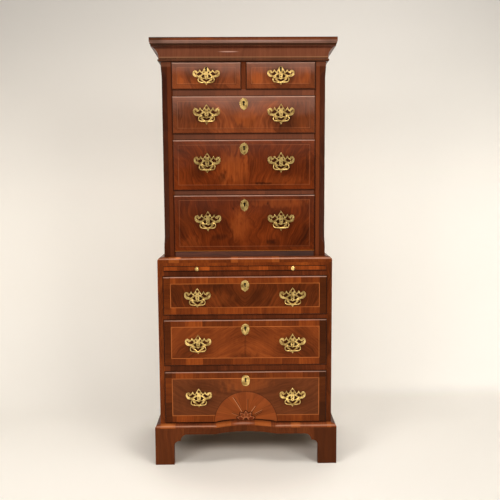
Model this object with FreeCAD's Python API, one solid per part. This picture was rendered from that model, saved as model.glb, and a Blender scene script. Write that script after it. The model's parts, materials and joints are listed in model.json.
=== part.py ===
import FreeCAD, Part
import math
import os

# A walnut chest-on-chest, in millimetres. X runs across the front, Y runs from the front to the
# back and Z is up. The origin is on the floor, under the middle of the whole piece. Every board,
# casting and bolt is a solid of its own, and each drawer is a front, a dovetailed box, its
# brasses, its lock bolt and its swinging bails.

# Overall widths and depth
lower_width = 759.0
upper_side_inset = 29.0
overall_depth = 477.0
plinth_projection = 22.0
upper_setback = 26.0
cornice_projection = 42.5

# Heights that stack up from the floor. A show is the strip of carcase seen between two fronts.
foot_height = 166.0
plinth_moulding_height = 16.0
lower_rail_shows = (4.5, 28.0, 22.0)
lower_front_heights = (232.0, 204.0, 169.0)
slide_rail_show = 24.0
slide_slot_height = 20.0
frieze_height = 15.0
waist_height = 24.0
upper_rail_shows = (23.0, 21.5, 26.5)
upper_front_heights = (245.0, 214.5, 157.0)
short_rail_show = 28.5
short_front_height = 112.0
top_rail_show = 1.5
cornice_height = 93.0
cornice_above_top = 12.0

# Boards
lower_side_thickness = 27.0
upper_side_thickness = 20.0
corner_post_width = 49.5
corner_post_depth = 44.0
muntin_show = 23.0
end_board_thickness = 18.0
back_board_thickness = 10.0
front_rail_depth = 60.0
top_rail_thickness = 20.0
bottom_rail_depth = 80.0
runner_width = 20.0
runner_height = 16.0
guide_height = 14.0

# Canted corners of the upper chest, with a lamb's tongue at each end
cant = 24.0
cant_top_margin = 16.0
cant_bottom_margin = 41.0
tongue_length = 50.0
tongue_end_shares = ((0.0, 0.0), (0.5, 0.5), (1.0, 1.0))
tongue_via_shares = ((0.18, 0.25), (0.82, 0.75))

# Cornice, as shares of its projection and its height, from the bottom of the carcase face up
cornice_profile_shares = (
    (0.0, 0.0), (0.15, 0.0), (0.17, 0.12, 0.29, 0.06), (0.2, 0.12), (0.2, 0.19),
    (0.81, 0.62, 0.38, 0.47), (0.87, 0.62), (0.87, 0.68), (0.94, 0.79, 0.94, 0.72),
    (1.0, 0.8), (1.0, 1.0), (0.0, 1.0))

# Rounded edges, as shares of their width and height, from the inner bottom corner
waist_profile_shares = ((0.0, 0.0), (1.0, 0.0), (1.0, 0.34), (0.17, 1.0, 0.77, 0.82), (0.0, 1.0))
plinth_profile_shares = ((0.0, 0.0), (1.0, 0.0), (1.0, 0.15), (0.16, 0.9, 0.77, 0.68),
                         (0.16, 1.0), (0.0, 1.0))

# Bracket feet
foot_width = 83.5
foot_board_thickness = 24.0
foot_straight = 89.0
foot_cusp_width = 28.0
foot_cusp_rise = 20.0
apron_height = 28.0
apron_cove_width = 32.0
diagonal_share = 0.5 ** 0.5
foot_block_width = 42.0
rear_brace_width = 76.0

# Drawers
lip_overlap = 3.5
lip_proud = 6.0
lip_round = 4.5
lip_gap = 0.3
front_thickness = 20.0
side_clearance = 0.8
top_clearance = 1.5
running_clearance = 0.3
box_side_thickness = 10.0
box_top_gap = 4.0
box_back_drop = 8.0
box_bottom_thickness = 8.0
bottom_groove = 5.0
drawer_back_gap = 12.0
dovetail_lap = 7.0
front_tail_pitch = 75.0
back_tail_pitch = 110.0
tail_wide_share = 0.36
tail_narrow_share = 0.26

# Sunburst niche in the lowest front, and the hollow plinth below it
niche_radius = 139.0
niche_depth = 32.0
niche_core_wall = 12.0
niche_core_margin = 12.0

# Brushing slide
slide_clearance = 0.5
slide_edge_width = 24.0
slide_depth = 400.0
slide_knob_spread = 415.5
knob_radius = 9.5
knob_length = 20.0
knob_profile_shares = ((0.42, 0.0), (0.42, 0.38), (0.9, 0.52), (1.0, 0.7), (0.72, 0.92), (0.3, 1.0))
knob_facets = 10
overrun = 1.0

# Pierced handle plates, as shares of the half width and of the rise above the post line. Round
# stretches of the small brasses are a few chords, because the same plate is used fourteen times.
upper_handle_spread = 317.5
lower_handle_spread = 414.5
short_handle_lift = -2.0
upper_handle_lifts = (8.5, 8.0, 0.5)
lower_handle_lifts = (-4.5, -8.5, -10.5)
plate_half_width = 57.5
plate_rise = 51.0
short_plate_rise = 45.0
plate_drop_share = 0.7
plate_thickness = 1.6
plate_crown_shares = ((0.0, 1.0), (0.22, 0.56), (0.33, 0.48))
keyhole_crown_shares = ((0.0, 1.0), (0.1, 0.96), (0.2, 0.76), (0.33, 0.5))
plate_ear_shares = ((0.49, 0.72), (0.59, 0.5))
plate_foot_shares = ((0.53, 0.02), (0.42, -0.3), (0.2, -0.5), (0.0, -plate_drop_share))
lobe_centre_shares = (0.765, 0.31)
lobe_radius = 13.5
lobe_angles = (125.0, -115.0)
lobe_chords = 5
crown_hole_shares = ((0.0, 0.87), (0.07, 0.75), (0.0, 0.62), (-0.07, 0.75))
lobe_hole_shares = ((0.33, 0.37), (0.5, 0.43), (0.71, 0.33), (0.52, 0.23))
crescent_hole_shares = ((-0.23, -0.09), (0.23, -0.09), (0.14, -0.27), (-0.14, -0.27))
pane_centre_shares = (0.105, 0.3)
pane_half_shares = (0.065, 0.22)

# Posts and bails
post_spread = 46.0
post_head = 7.0
post_length = 10.5
pivot_standoff = 7.0
post_shank = 5.0
post_nut = 10.0
post_nut_thickness = 5.0
bail_pin_radius = 1.7
bail_pin_clearance = 0.3
bail_half_width = 31.0
bail_drop = 20.0
bail_middle_radius = 3.3
bail_path_shares = ((1.0, 0.0), (1.1, -0.4), (0.88, -0.8), (0.3, -1.0))
bail_facets = 6
eye_facets = 4

# Escutcheons, locks and bolts. A key drop is from a front's top to the middle of its escutcheon.
lower_key_drops = (42.0, 43.0, 41.0)
upper_key_drops = (44.0, 38.0, 33.0)
short_key_drop = 32.5
escutcheon_half_width = 20.5
escutcheon_half_height = 29.0
escutcheon_shares = ((0.0, 0.94), (0.62, 0.78), (0.9, 0.46), (0.98, 0.0), (0.88, -0.42), (0.62, -0.76),
                     (0.24, -0.86), (0.0, -1.06))
keyhole_radius = 3.0
keyhole_chords = 5
keyhole_slot_width = 3.0
keyhole_slot_length = 11.0
lock_width = 62.0
lock_height = 50.0
lock_depth = 11.0
bolt_width = 24.0
bolt_thickness = 5.0
bolt_height = 16.0
bolt_clearance = 0.3
mortice_clearance = 1.5
mortice_depth = 10.0

Vector = FreeCAD.Vector
nodes = {}

half_lower = lower_width / 2
half_upper = half_lower - upper_side_inset
plinth_front = -overall_depth / 2
back = overall_depth / 2
lower_front = plinth_front + plinth_projection
upper_front = lower_front + upper_setback
half_plinth = half_lower + plinth_projection
lower_opening = half_lower - lower_side_thickness
upper_opening = half_upper - corner_post_width
upper_inner = half_upper - upper_side_thickness
carcase_back = back - back_board_thickness
plinth_top = foot_height + plinth_moulding_height


def box(x0, x1, y0, y1, z0, z1):
    return Part.makeBox(x1 - x0, y1 - y0, z1 - z0, Vector(x0, y0, z0))


def in_side_view(x):
    return lambda a, b: Vector(x, a, b)


def outline(steps, place, scale_a=1, scale_b=1):
    """Edges through the steps: (a, b) draws a line, (a, b, via a, via b) an arc."""
    edges = []
    last = None
    for step in steps:
        end = place(step[0] * scale_a, step[1] * scale_b)
        if last is not None and len(step) > 2:
            via = place(step[2] * scale_a, step[3] * scale_b)
            edges.append(Part.Arc(last, via, end).toShape())
        elif last is not None:
            edges.append(Part.LineSegment(last, end).toShape())
        last = end
    return edges


def closed(steps, place, scale_a=1, scale_b=1):
    steps = list(steps)
    if len(steps[0]) == 2 and steps[0][:2] != steps[-1][:2]:
        steps.append(steps[0])
    return Part.Wire(outline(steps, place, scale_a, scale_b))


def prism(steps, place, run, scale_a=1, scale_b=1):
    return Part.Face(closed(steps, place, scale_a, scale_b)).extrude(run)


def upright_prism(corners, bottom, top):
    points = [Vector(x, y, bottom) for x, y in corners]
    return Part.Face(Part.makePolygon(points + points[:1])).extrude(Vector(0, 0, top - bottom))


def chords(centre_a, centre_b, radius, first, last, count):
    """The corners of a round stretch drawn as chords, between two angles in degrees."""
    points = []
    for number in range(count + 1):
        turn = math.radians(first + (last - first) * number / count)
        points.append((centre_a + radius * math.cos(turn), centre_b + radius * math.sin(turn)))
    return points


def mirrored(shape):
    return shape.mirror(Vector(0, 0, 0), Vector(1, 0, 0))


def both(shape):
    return [shape, mirrored(shape)]


def fused(shapes):
    return shapes[0].multiFuse(shapes[1:]).removeSplitter()


def add(node, shapes):
    nodes.setdefault(node, []).extend(shapes)


class Opening:
    """A drawer's hole in the carcase, with the front that covers it."""

    def __init__(self, name, left, right, bottom, height, face, handles, lift, key_drop):
        self.name = name
        self.left = left + lip_overlap
        self.right = right - lip_overlap
        self.lip_left = left
        self.lip_right = right
        self.lip_bottom = bottom
        self.lip_top = bottom + height
        self.bottom = bottom + lip_overlap
        self.top = bottom + height - lip_overlap
        self.face = face
        self.handles = handles
        self.lift = lift
        self.key_drop = key_drop
        self.middle = (left + right) / 2


# Openings of the lower chest, from the plinth up
half_lower_lip = lower_opening + lip_overlap
half_upper_lip = upper_opening + lip_overlap
lower_drawers = []
level = plinth_top
for order, (show, height) in enumerate(zip(lower_rail_shows, lower_front_heights)):
    level += show
    lower_drawers.append(Opening(
        f"lower_drawer_{len(lower_front_heights) - order}", -half_lower_lip, half_lower_lip, level,
        height, lower_front,
        {"left": -lower_handle_spread / 2, "right": lower_handle_spread / 2},
        lower_handle_lifts[order], lower_key_drops[order]))
    level += height
slide_bottom = level + slide_rail_show
slide_top = slide_bottom + slide_slot_height
waist_bottom = slide_top + frieze_height
waist_top = waist_bottom + waist_height

# Openings of the upper chest, from the waist up
upper_drawers = []
level = waist_top
for order, (show, height) in enumerate(zip(upper_rail_shows, upper_front_heights)):
    level += show
    upper_drawers.append(Opening(
        f"upper_drawer_{len(upper_front_heights) - order}", -half_upper_lip, half_upper_lip, level,
        height, upper_front,
        {"left": -upper_handle_spread / 2, "right": upper_handle_spread / 2},
        upper_handle_lifts[order], upper_key_drops[order]))
    level += height
level += short_rail_show
short_drawers = []
for side, left, right in (("left", -half_upper_lip, -muntin_show / 2),
                          ("right", muntin_show / 2, half_upper_lip)):
    short_drawers.append(Opening(
        f"short_drawer_{side}", left, right, level, short_front_height, upper_front,
        {"": (left + right) / 2}, short_handle_lift, short_key_drop))
level += short_front_height
cornice_bottom = level + top_rail_show
cornice_top = cornice_bottom + cornice_height
carcase_top = cornice_top - cornice_above_top
drawers = lower_drawers + upper_drawers + short_drawers

# The hollow is round an upright axis in front of the chest, the niche is round a point on it.
lip_face = lower_front - lip_proud
hollow_radius = (niche_radius ** 2 + niche_depth ** 2) / (2 * niche_depth)
hollow_axis = lip_face + niche_depth - hollow_radius
lowest = lower_drawers[0]
highest_long = upper_drawers[-1]


def hollow(radius, bottom, top):
    """An upright cylinder that hollows the middle of the plinth and of the rail above it."""
    return Part.makeCylinder(radius, top - bottom, Vector(0, hollow_axis, bottom), Vector(0, 0, 1))


def lower_carcase():
    """Sides, end boards, front rails, the runners behind them and the rounded waist."""
    add("lower_sides", both(box(lower_opening, half_lower, lower_front, back,
                                foot_height, waist_bottom)))
    rail_hollow = hollow(hollow_radius + lip_proud, foot_height - overrun, lowest.bottom + overrun)
    bottom_rail = box(-lower_opening, lower_opening, lower_front, lower_front + bottom_rail_depth,
                      foot_height, lowest.bottom)
    add("front_rails", [bottom_rail.cut(rail_hollow)])
    add("end_boards", [
        box(-lower_opening, lower_opening, lower_front + bottom_rail_depth, carcase_back,
            lowest.bottom - end_board_thickness, lowest.bottom),
        box(-lower_opening, lower_opening, lower_front + waist_height, back,
            waist_bottom, waist_top)])
    rails = [(below.top, above.bottom, below) for below, above in zip(lower_drawers, lower_drawers[1:])]
    rails.append((lower_drawers[-1].top, slide_bottom, lower_drawers[-1]))
    for bottom, top, locked in rails:
        rail = box(-lower_opening, lower_opening, lower_front, lower_front + front_rail_depth,
                   bottom, top)
        add("front_rails", [rail.cut(mortice(locked))])
        add("drawer_runners", both(box(
            lower_opening - runner_width, lower_opening, lower_front + front_rail_depth,
            carcase_back, top - runner_height, top)))
    add("front_rails", [box(-lower_opening, lower_opening, lower_front,
                            lower_front + front_rail_depth, slide_top, waist_bottom)])
    add("drawer_runners", both(box(
        lower_opening - runner_width, lower_opening, lower_front + front_rail_depth,
        carcase_back, slide_top, slide_top + frieze_height)))
    add("back_boards", [box(-lower_opening, lower_opening, carcase_back, back,
                            foot_height, waist_bottom)])


def mortice(drawer):
    """The pocket in the rail above a drawer that the lock bolt is thrown into."""
    half_width = bolt_width / 2 + mortice_clearance
    half_depth = bolt_thickness / 2 + mortice_clearance
    bolt_y = drawer.face + front_thickness - lock_depth / 2
    return box(drawer.middle - half_width, drawer.middle + half_width, bolt_y - half_depth,
               bolt_y + half_depth, drawer.top - overrun, drawer.top + mortice_depth)


def mitred_surround(profile, width, height, half, front, bottom, projection):
    """A front and two side lengths of one moulding, mitred at the corners."""
    reach = half + projection
    near = front - projection
    run_x = Vector(2 * reach, 0, 0)
    run_y = Vector(0, back - near, 0)
    front_length = prism(profile, lambda a, b: Vector(-reach, front - a, bottom + b), run_x,
                         width, height)
    side_length = prism(profile, lambda a, b: Vector(half + a, near, bottom + b), run_y,
                        width, height)
    top = bottom + height
    mitre = upright_prism([(half, front), (reach, near), (reach, back), (half, back)], bottom, top)
    trim = upright_prism([(-half, front), (-reach, near), (reach, near), (half, front)], bottom, top)
    return [front_length.common(trim)] + both(side_length.common(mitre))


def waist():
    """The cross-grained nosing that rounds the top of the lower chest, flush with its sides."""
    nosing = mitred_surround(
        waist_profile_shares, waist_height, waist_height, half_lower - waist_height,
        lower_front + waist_height, waist_bottom, waist_height)
    add("waist_moulding", nosing)


def cornice():
    add("cornice", mitred_surround(cornice_profile_shares, cornice_projection, cornice_height,
                                   half_upper, upper_front, cornice_bottom, cornice_projection))


def plinth():
    """The rounded base moulding. Its front follows the hollow under the sunburst."""
    sides = mitred_surround(plinth_profile_shares, plinth_projection, plinth_moulding_height,
                            half_lower, lower_front, foot_height, plinth_projection)[1:]
    rail_radius = hollow_radius + lip_proud
    width = plinth_projection
    height = plinth_moulding_height
    back_share = -bottom_rail_depth / width
    face_steps = plinth_profile_shares[1:-1]
    slab = prism(((back_share, 0.0),) + face_steps + ((back_share, 1.0),),
                 lambda a, b: Vector(-half_plinth, lower_front - a, foot_height + b),
                 Vector(2 * half_plinth, 0, 0), width, height)
    radius_share = rail_radius / width
    plug_steps = ((radius_share, 0.0),) + face_steps + ((radius_share, 1.0),)
    plug = Part.Face(closed(plug_steps,
                            lambda a, b: Vector(rail_radius - a, hollow_axis, foot_height + b),
                            width, height))
    plug = plug.revolve(Vector(0, hollow_axis, 0), Vector(0, 0, 1), 360)
    carcase = box(-half_plinth, half_plinth, lower_front, back, foot_height, plinth_top).cut(
        hollow(rail_radius, foot_height, plinth_top))
    trim = upright_prism([
        (-half_lower, lower_front), (-half_plinth, plinth_front), (half_plinth, plinth_front),
        (half_lower, lower_front), (half_lower, lower_front + bottom_rail_depth),
        (-half_lower, lower_front + bottom_rail_depth)], foot_height, plinth_top)
    add("plinth_moulding", [slab.cut(plug).cut(carcase).common(trim)] + sides)


def foot_steps(length):
    """One bracket foot and its length of apron, from the outer bottom corner."""
    cusp = foot_width + foot_cusp_width
    cusp_height = foot_straight + foot_cusp_rise
    cove = cusp + apron_cove_width
    underside = foot_height - apron_height
    cove_rise = underside - cusp_height
    return ((0.0, 0.0), (foot_width, 0.0), (foot_width, foot_straight),
            (cusp, cusp_height, foot_width + foot_cusp_width * (1 - diagonal_share),
             foot_straight + foot_cusp_rise * diagonal_share),
            (cove, underside, cusp + apron_cove_width * (1 - diagonal_share),
             cusp_height + cove_rise * diagonal_share),
            (length, underside), (length, foot_height), (0.0, foot_height))


def bracket_feet():
    """Mitred front and side brackets, the hollow apron, rear braces and the corner blocks."""
    inner_face = plinth_front + foot_board_thickness
    inner_side = half_plinth - foot_board_thickness
    apron_radius = hollow_radius + lip_proud - plinth_projection
    apron_half = (apron_radius ** 2 - (plinth_front - hollow_axis) ** 2) ** 0.5
    front_board = prism(foot_steps(half_plinth - apron_half),
                        lambda a, b: Vector(half_plinth - a, plinth_front, b),
                        Vector(0, foot_board_thickness, 0))
    side_board = prism(foot_steps(overall_depth / 2),
                       lambda a, b: Vector(inner_side, plinth_front + a, b),
                       Vector(foot_board_thickness, 0, 0))
    rear_board = side_board.mirror(Vector(0, 0, 0), Vector(0, 1, 0))
    mitre = upright_prism([(half_plinth, plinth_front), (inner_side, inner_face),
                           (inner_side, back), (half_plinth, back)], 0, foot_height)
    add("bracket_feet", both(front_board.cut(mitre)))
    add("bracket_feet", both(side_board.common(mitre)))
    add("bracket_feet", both(rear_board))
    underside = foot_height - apron_height
    apron = hollow(apron_radius + foot_board_thickness, underside, foot_height).cut(
        hollow(apron_radius, underside, foot_height))
    apron = apron.common(box(-apron_half, apron_half, plinth_front, back, underside, foot_height))
    add("bracket_feet", [apron])
    brace_steps = ((0.0, 0.0), (foot_width, 0.0), (foot_width, foot_straight),
                   (rear_brace_width + foot_width, foot_height), (0.0, foot_height))
    brace = prism(brace_steps, lambda a, b: Vector(inner_side - a, back, b),
                  Vector(0, -foot_board_thickness, 0))
    add("bracket_feet", both(brace))
    block = box(inner_side - foot_block_width, inner_side, inner_face,
                inner_face + foot_block_width, 0, foot_height)
    rear_block = box(inner_side - foot_block_width, inner_side,
                     back - foot_board_thickness - foot_block_width,
                     back - foot_board_thickness, 0, foot_height)
    add("foot_blocks", both(block) + both(rear_block))


def corner_posts():
    """Upright posts whose outer corners are canted, and square again at both ends."""
    post = box(half_upper - corner_post_width, half_upper, upper_front,
               upper_front + corner_post_depth, waist_top, carcase_top - end_board_thickness)
    depth = cant * diagonal_share
    high = cornice_bottom - cant_top_margin
    low = waist_top + cant_bottom_margin
    start, middle, end = tongue_end_shares
    first, second = tongue_via_shares

    def at(shares, level, sign):
        return (shares[0] * depth, level - sign * shares[1] * tongue_length)

    steps = [(-overrun, high), at(start, high, 1),
             at(middle, high, 1) + at(first, high, 1), at(end, high, 1) + at(second, high, 1),
             at(end, low, -1),
             at(middle, low, -1) + at(second, low, -1), at(start, low, -1) + at(first, low, -1),
             (-overrun, low)]
    reach = cant + overrun
    corner_x = half_upper - reach * diagonal_share
    corner_y = upper_front - reach * diagonal_share
    chip = prism(steps,
                 lambda a, b: Vector(corner_x - a * diagonal_share, corner_y + a * diagonal_share, b),
                 Vector(2 * reach * diagonal_share, 2 * reach * diagonal_share, 0))
    add("corner_posts", both(post.cut(chip)))


def upper_carcase():
    """Posts, sides, end boards, front rails, the muntin, and runners with their guides."""
    corner_posts()
    board_bottom = carcase_top - end_board_thickness
    post_back = upper_front + corner_post_depth
    add("upper_sides", both(box(upper_inner, half_upper, post_back, back, waist_top, board_bottom)))
    first = upper_drawers[0]
    add("end_boards", [
        fused([box(-upper_inner, upper_inner, post_back, carcase_back, waist_top, first.bottom),
               box(-upper_opening, upper_opening, upper_front, post_back, waist_top, first.bottom)]),
        box(-half_upper, half_upper, upper_front, back, board_bottom, carcase_top)])
    add("back_boards", [box(-upper_inner, upper_inner, carcase_back, back, waist_top, board_bottom)])
    short = short_drawers[0]
    rails = [(below.top, above.bottom, below) for below, above in zip(upper_drawers, upper_drawers[1:])]
    rails.append((highest_long.top, short.bottom, highest_long))
    for bottom, top, locked in rails:
        rail = box(-upper_opening, upper_opening, upper_front, upper_front + front_rail_depth,
                   bottom, top)
        add("front_rails", [rail.cut(mortice(locked))])
        add("drawer_runners", both(runner(top)))
    add("drawer_runners", both(guide(first.bottom)))
    top_rail = box(-upper_opening, upper_opening, upper_front, upper_front + top_rail_thickness,
                   short.top, board_bottom)
    for locked in short_drawers:
        top_rail = top_rail.cut(mortice(locked))
    half_muntin = muntin_show / 2 + lip_overlap
    muntin = box(-half_muntin, half_muntin, upper_front, upper_front + top_rail_thickness,
                 short.bottom, short.top)
    add("front_rails", [top_rail, muntin])
    half_bearer = half_muntin + runner_width
    behind_rail = upper_front + front_rail_depth
    bearer = box(-half_bearer, half_bearer, behind_rail, carcase_back, short.bottom - runner_height,
                 short.bottom)
    middle_guide = box(-half_muntin, half_muntin, upper_front + top_rail_thickness, carcase_back,
                       short.bottom, short.bottom + guide_height)
    add("drawer_runners", [bearer, middle_guide])


def guide(level):
    """The strip that keeps an upper drawer straight, in the space behind a corner post."""
    return box(upper_opening, upper_inner, upper_front + corner_post_depth, carcase_back,
               level, level + guide_height)


def runner(level):
    """A runner with its guide on top, glued to the side of the upper chest."""
    behind_post = upper_front + corner_post_depth
    behind_rail = upper_front + front_rail_depth
    bearer = box(upper_opening - runner_width, upper_opening, behind_rail, carcase_back,
                 level - runner_height, level)
    strip = box(upper_opening, upper_inner, behind_post, carcase_back,
                level - runner_height, level + guide_height)
    return bearer.fuse(strip).removeSplitter()


def tails(x0, x1, z0, z1, shoulder, end, usual_pitch):
    """Dovetails across a board's thickness: wide at the end, narrow at the shoulder."""
    count = max(1, int((z1 - z0) / usual_pitch))
    pitch = (z1 - z0) / count
    wide = pitch * tail_wide_share
    narrow = pitch * tail_narrow_share
    shapes = []
    for number in range(count):
        centre = z0 + pitch * (number + 0.5)
        steps = ((shoulder, centre - narrow), (end, centre - wide), (end, centre + wide),
                 (shoulder, centre + narrow))
        shapes.append(prism(steps, in_side_view(x0), Vector(x1 - x0, 0, 0)))
    return Part.makeCompound(shapes)


def keyhole(x, z, y0, y1):
    """A key's hole: a faceted eye for the pin and a slot below it for the bit."""
    slot_half = keyhole_slot_width / 2
    slot_angle = math.degrees(math.asin(slot_half / keyhole_radius))
    eye = chords(x, z, keyhole_radius, slot_angle - 90, 270 - slot_angle, keyhole_chords)
    steps = eye + [(x - slot_half, z - keyhole_slot_length), (x + slot_half, z - keyhole_slot_length)]
    return prism(steps, lambda a, b: Vector(a, y0, b), Vector(0, y1 - y0, 0))


def keyhole_height(drawer):
    return drawer.lip_top - drawer.key_drop + keyhole_slot_length / 2


def rounded_profile(front, rear, low, high):
    """A lip's section: square behind, rounded over in front."""
    inset = lip_round * (1 - diagonal_share)
    return ((rear, low), (front + lip_round, low),
            (front, low + lip_round, front + inset, low + inset), (front, high - lip_round),
            (front + lip_round, high, front + inset, high - inset), (rear, high))


def drawer_front(drawer):
    """A lipped front, let in from behind for the lock and bored for its key and posts."""
    face = drawer.face
    seat = face - lip_proud
    upright = rounded_profile(seat, face - lip_gap, drawer.lip_bottom, drawer.lip_top)
    level = rounded_profile(seat, face - lip_gap, drawer.lip_left, drawer.lip_right)
    lip = prism(upright, in_side_view(drawer.lip_left),
                Vector(drawer.lip_right - drawer.lip_left, 0, 0))
    lip = lip.common(prism(level, lambda a, b: Vector(b, a, drawer.lip_bottom),
                           Vector(0, 0, drawer.lip_top - drawer.lip_bottom)))
    body = box(drawer.left + side_clearance, drawer.right - side_clearance, face - lip_gap,
               face + front_thickness, drawer.bottom + running_clearance, drawer.top - top_clearance)
    front = lip.fuse(body).removeSplitter()
    front = front.cut(lock_space(drawer))
    front = front.cut(keyhole(drawer.middle, keyhole_height(drawer), face - lip_proud - overrun,
                              face + front_thickness))
    for x in drawer.handles.values():
        for post_x in (x - post_spread / 2, x + post_spread / 2):
            half = post_shank / 2
            z = handle_height(drawer)
            front = front.cut(box(post_x - half, post_x + half, face - lip_proud - overrun,
                                  face + front_thickness + overrun, z - half, z + half))
    return front


def lock_space(drawer):
    half = lock_width / 2
    top = drawer.top - top_clearance
    rear = drawer.face + front_thickness
    return box(drawer.middle - half, drawer.middle + half, rear - lock_depth, rear,
               top - lock_height, top)


def bolt_box(drawer, growth):
    """The bolt, or with a growth the slot it slides in, withdrawn level with the lock's top."""
    half = bolt_width / 2 + growth
    half_thickness = bolt_thickness / 2 + growth
    y = drawer.face + front_thickness - lock_depth / 2
    top = drawer.top - top_clearance
    return box(drawer.middle - half, drawer.middle + half, y - half_thickness, y + half_thickness,
               top - bolt_height - growth, top)


def handle_height(drawer):
    """Height of the post line. The plate is centred on the front but for the drawer's lift."""
    rise = short_plate_rise if drawer in short_drawers else plate_rise
    return (drawer.lip_bottom + drawer.lip_top) / 2 + drawer.lift - rise * (1 - plate_drop_share) / 2


def drawer_box(drawer, front):
    """Two sides, a back and a bottom. Returns the front with its dovetail sockets cut."""
    rear_of_front = drawer.face + front_thickness
    socket_end = drawer.face + dovetail_lap
    rear = carcase_back - drawer_back_gap
    back_face = rear - box_side_thickness
    low = drawer.bottom + running_clearance
    high = drawer.top - box_top_gap
    floor = low + box_bottom_thickness
    back_top = high - box_back_drop
    outer_left = drawer.left + side_clearance
    outer_right = drawer.right - side_clearance
    back_board = box(outer_left, outer_right, back_face, rear, floor, back_top)
    shapes = []
    for outer, inward in ((outer_left, 1), (outer_right, -1)):
        inner = outer + inward * box_side_thickness
        x0 = min(outer, inner)
        x1 = max(outer, inner)
        groove_end = inner - inward * bottom_groove
        side = box(x0, x1, socket_end, rear, low, high)
        side = side.cut(box(min(inner, groove_end), max(inner, groove_end), rear_of_front, rear,
                            low, floor))
        front_tails = tails(x0, x1, low, high, rear_of_front, socket_end, front_tail_pitch)
        back_tails = tails(x0, x1, floor, back_top, back_face, rear, back_tail_pitch)
        side = side.cut(box(x0, x1, socket_end, rear_of_front, low, high).cut(front_tails))
        side = side.cut(box(x0, x1, back_face, rear, floor, back_top).cut(back_tails))
        front = front.cut(front_tails)
        back_board = back_board.cut(back_tails)
        shapes.append(side)
    shapes.append(back_board)
    inset = box_side_thickness - bottom_groove
    shapes.append(box(outer_left + inset, outer_right - inset, rear_of_front, rear, low, floor))
    return front, shapes


def sunburst_niche(front, bottom_board):
    """A hollow quarter ball in the lowest front, closed behind by a core glued to it."""
    ball = Part.makeSphere(hollow_radius, Vector(0, hollow_axis, lowest.lip_bottom))
    rear = lowest.face + front_thickness
    core_half = niche_radius + niche_core_margin
    core = box(-core_half, core_half, rear, lip_face + niche_depth + niche_core_wall,
               lowest.bottom + running_clearance, lowest.lip_bottom + core_half)
    under = box(-core_half, core_half, lip_face - hollow_radius, rear + overall_depth / 2,
                lowest.lip_bottom - hollow_radius, lowest.lip_bottom)
    cutter = ball.cut(under)
    return front.cut(cutter), core.cut(cutter), bottom_board.cut(core)


def plate_wires(place, crown, rise):
    """The pierced plate: its outline from a crown, ears, end lobes and foot, and its piercings."""
    lobe = chords(lobe_centre_shares[0] * plate_half_width, lobe_centre_shares[1] * rise, lobe_radius,
                  lobe_angles[0], lobe_angles[1], lobe_chords)
    half = [(a * plate_half_width, b * rise) for a, b in crown + plate_ear_shares] + lobe
    half += [(a * plate_half_width, b * rise) for a, b in plate_foot_shares]
    other = [(-a, b) for a, b in reversed(half[1:-1])]
    wires = [closed(half + other, place)]
    holes = [crescent_hole_shares]
    pane_a, pane_b = pane_centre_shares
    for sign in (1, -1):
        holes.append([(sign * a, b) for a, b in lobe_hole_shares])
        holes.append([(sign * pane_a + side * pane_half_shares[0], pane_b + end * pane_half_shares[1])
                      for side, end in ((-1, -1), (1, -1), (1, 1), (-1, 1))])
    return wires + [closed(hole, place, plate_half_width, rise) for hole in holes]


def handle_plate(drawer, x, z):
    """One plate, seated on the front. A short drawer's plate takes the key in its crown."""
    seat = drawer.face - lip_proud
    short = drawer in short_drawers
    rise = short_plate_rise if short else plate_rise
    crown = keyhole_crown_shares if short else plate_crown_shares
    place = lambda a, b: Vector(x + a, seat, z + b)
    wires = plate_wires(place, crown, rise)
    if not short:
        wires.append(closed(crown_hole_shares, place, plate_half_width, rise))
    plate = Part.makeFace(wires, "Part::FaceMakerBullseye").extrude(Vector(0, -plate_thickness, 0))
    half = post_shank / 2
    for post_x in (x - post_spread / 2, x + post_spread / 2):
        plate = plate.cut(box(post_x - half, post_x + half, seat - plate_thickness, seat,
                              z - half, z + half))
    if short:
        plate = plate.cut(keyhole(x, keyhole_height(drawer), seat - plate_thickness, seat))
    return plate


def post(drawer, x, z):
    """A square-shanked post with an eye for the bail, and the nut run up on its end."""
    plate_face = drawer.face - lip_proud - plate_thickness
    inside = drawer.face + front_thickness
    half = post_head / 2
    head = box(x - half, x + half, plate_face - post_length, plate_face, z - half, z + half)
    eye_radius = (bail_pin_radius + bail_pin_clearance) / math.cos(math.pi / eye_facets)
    corners = chords(plate_face - pivot_standoff, z, eye_radius, 0, 360, eye_facets)
    eye = prism(corners, in_side_view(x - half - overrun), Vector(post_head + 2 * overrun, 0, 0))
    half_shank = post_shank / 2
    shank = box(x - half_shank, x + half_shank, plate_face, inside, z - half_shank, z + half_shank)
    half_nut = post_nut / 2
    nut = box(x - half_nut, x + half_nut, inside, inside + post_nut_thickness,
              z - half_nut, z + half_nut)
    return fused([head.cut(eye), shank, nut])


def faceted_bar(path, radii, facets, normal):
    """A bar with flat facets round a path that lies in the plane of a normal."""
    rings = []
    for index, (point, radius) in enumerate(zip(path, radii)):
        before = path[max(index - 1, 0)]
        after = path[min(index + 1, len(path) - 1)]
        ahead = (after - point) if index < len(path) - 1 else (point - before)
        behind = (point - before) if index > 0 else ahead
        ahead.normalize()
        behind.normalize()
        along = ahead + behind
        along.normalize()
        across = along.cross(normal)
        stretch = 1 / along.dot(ahead)
        rings.append([point + across * (a * stretch) + normal * b
                      for a, b in chords(0, 0, radius, 0, 360, facets)[:-1]])
    faces = [Part.Face(Part.makePolygon(ring + ring[:1])) for ring in (rings[0], rings[-1])]
    for near, far in zip(rings, rings[1:]):
        for corner in range(facets):
            following = (corner + 1) % facets
            for facet in ((near[corner], near[following], far[following]),
                          (near[corner], far[following], far[corner])):
                faces.append(Part.Face(Part.makePolygon(list(facet) + [facet[0]])))
    return Part.makeSolid(Part.makeShell(faces))


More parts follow.
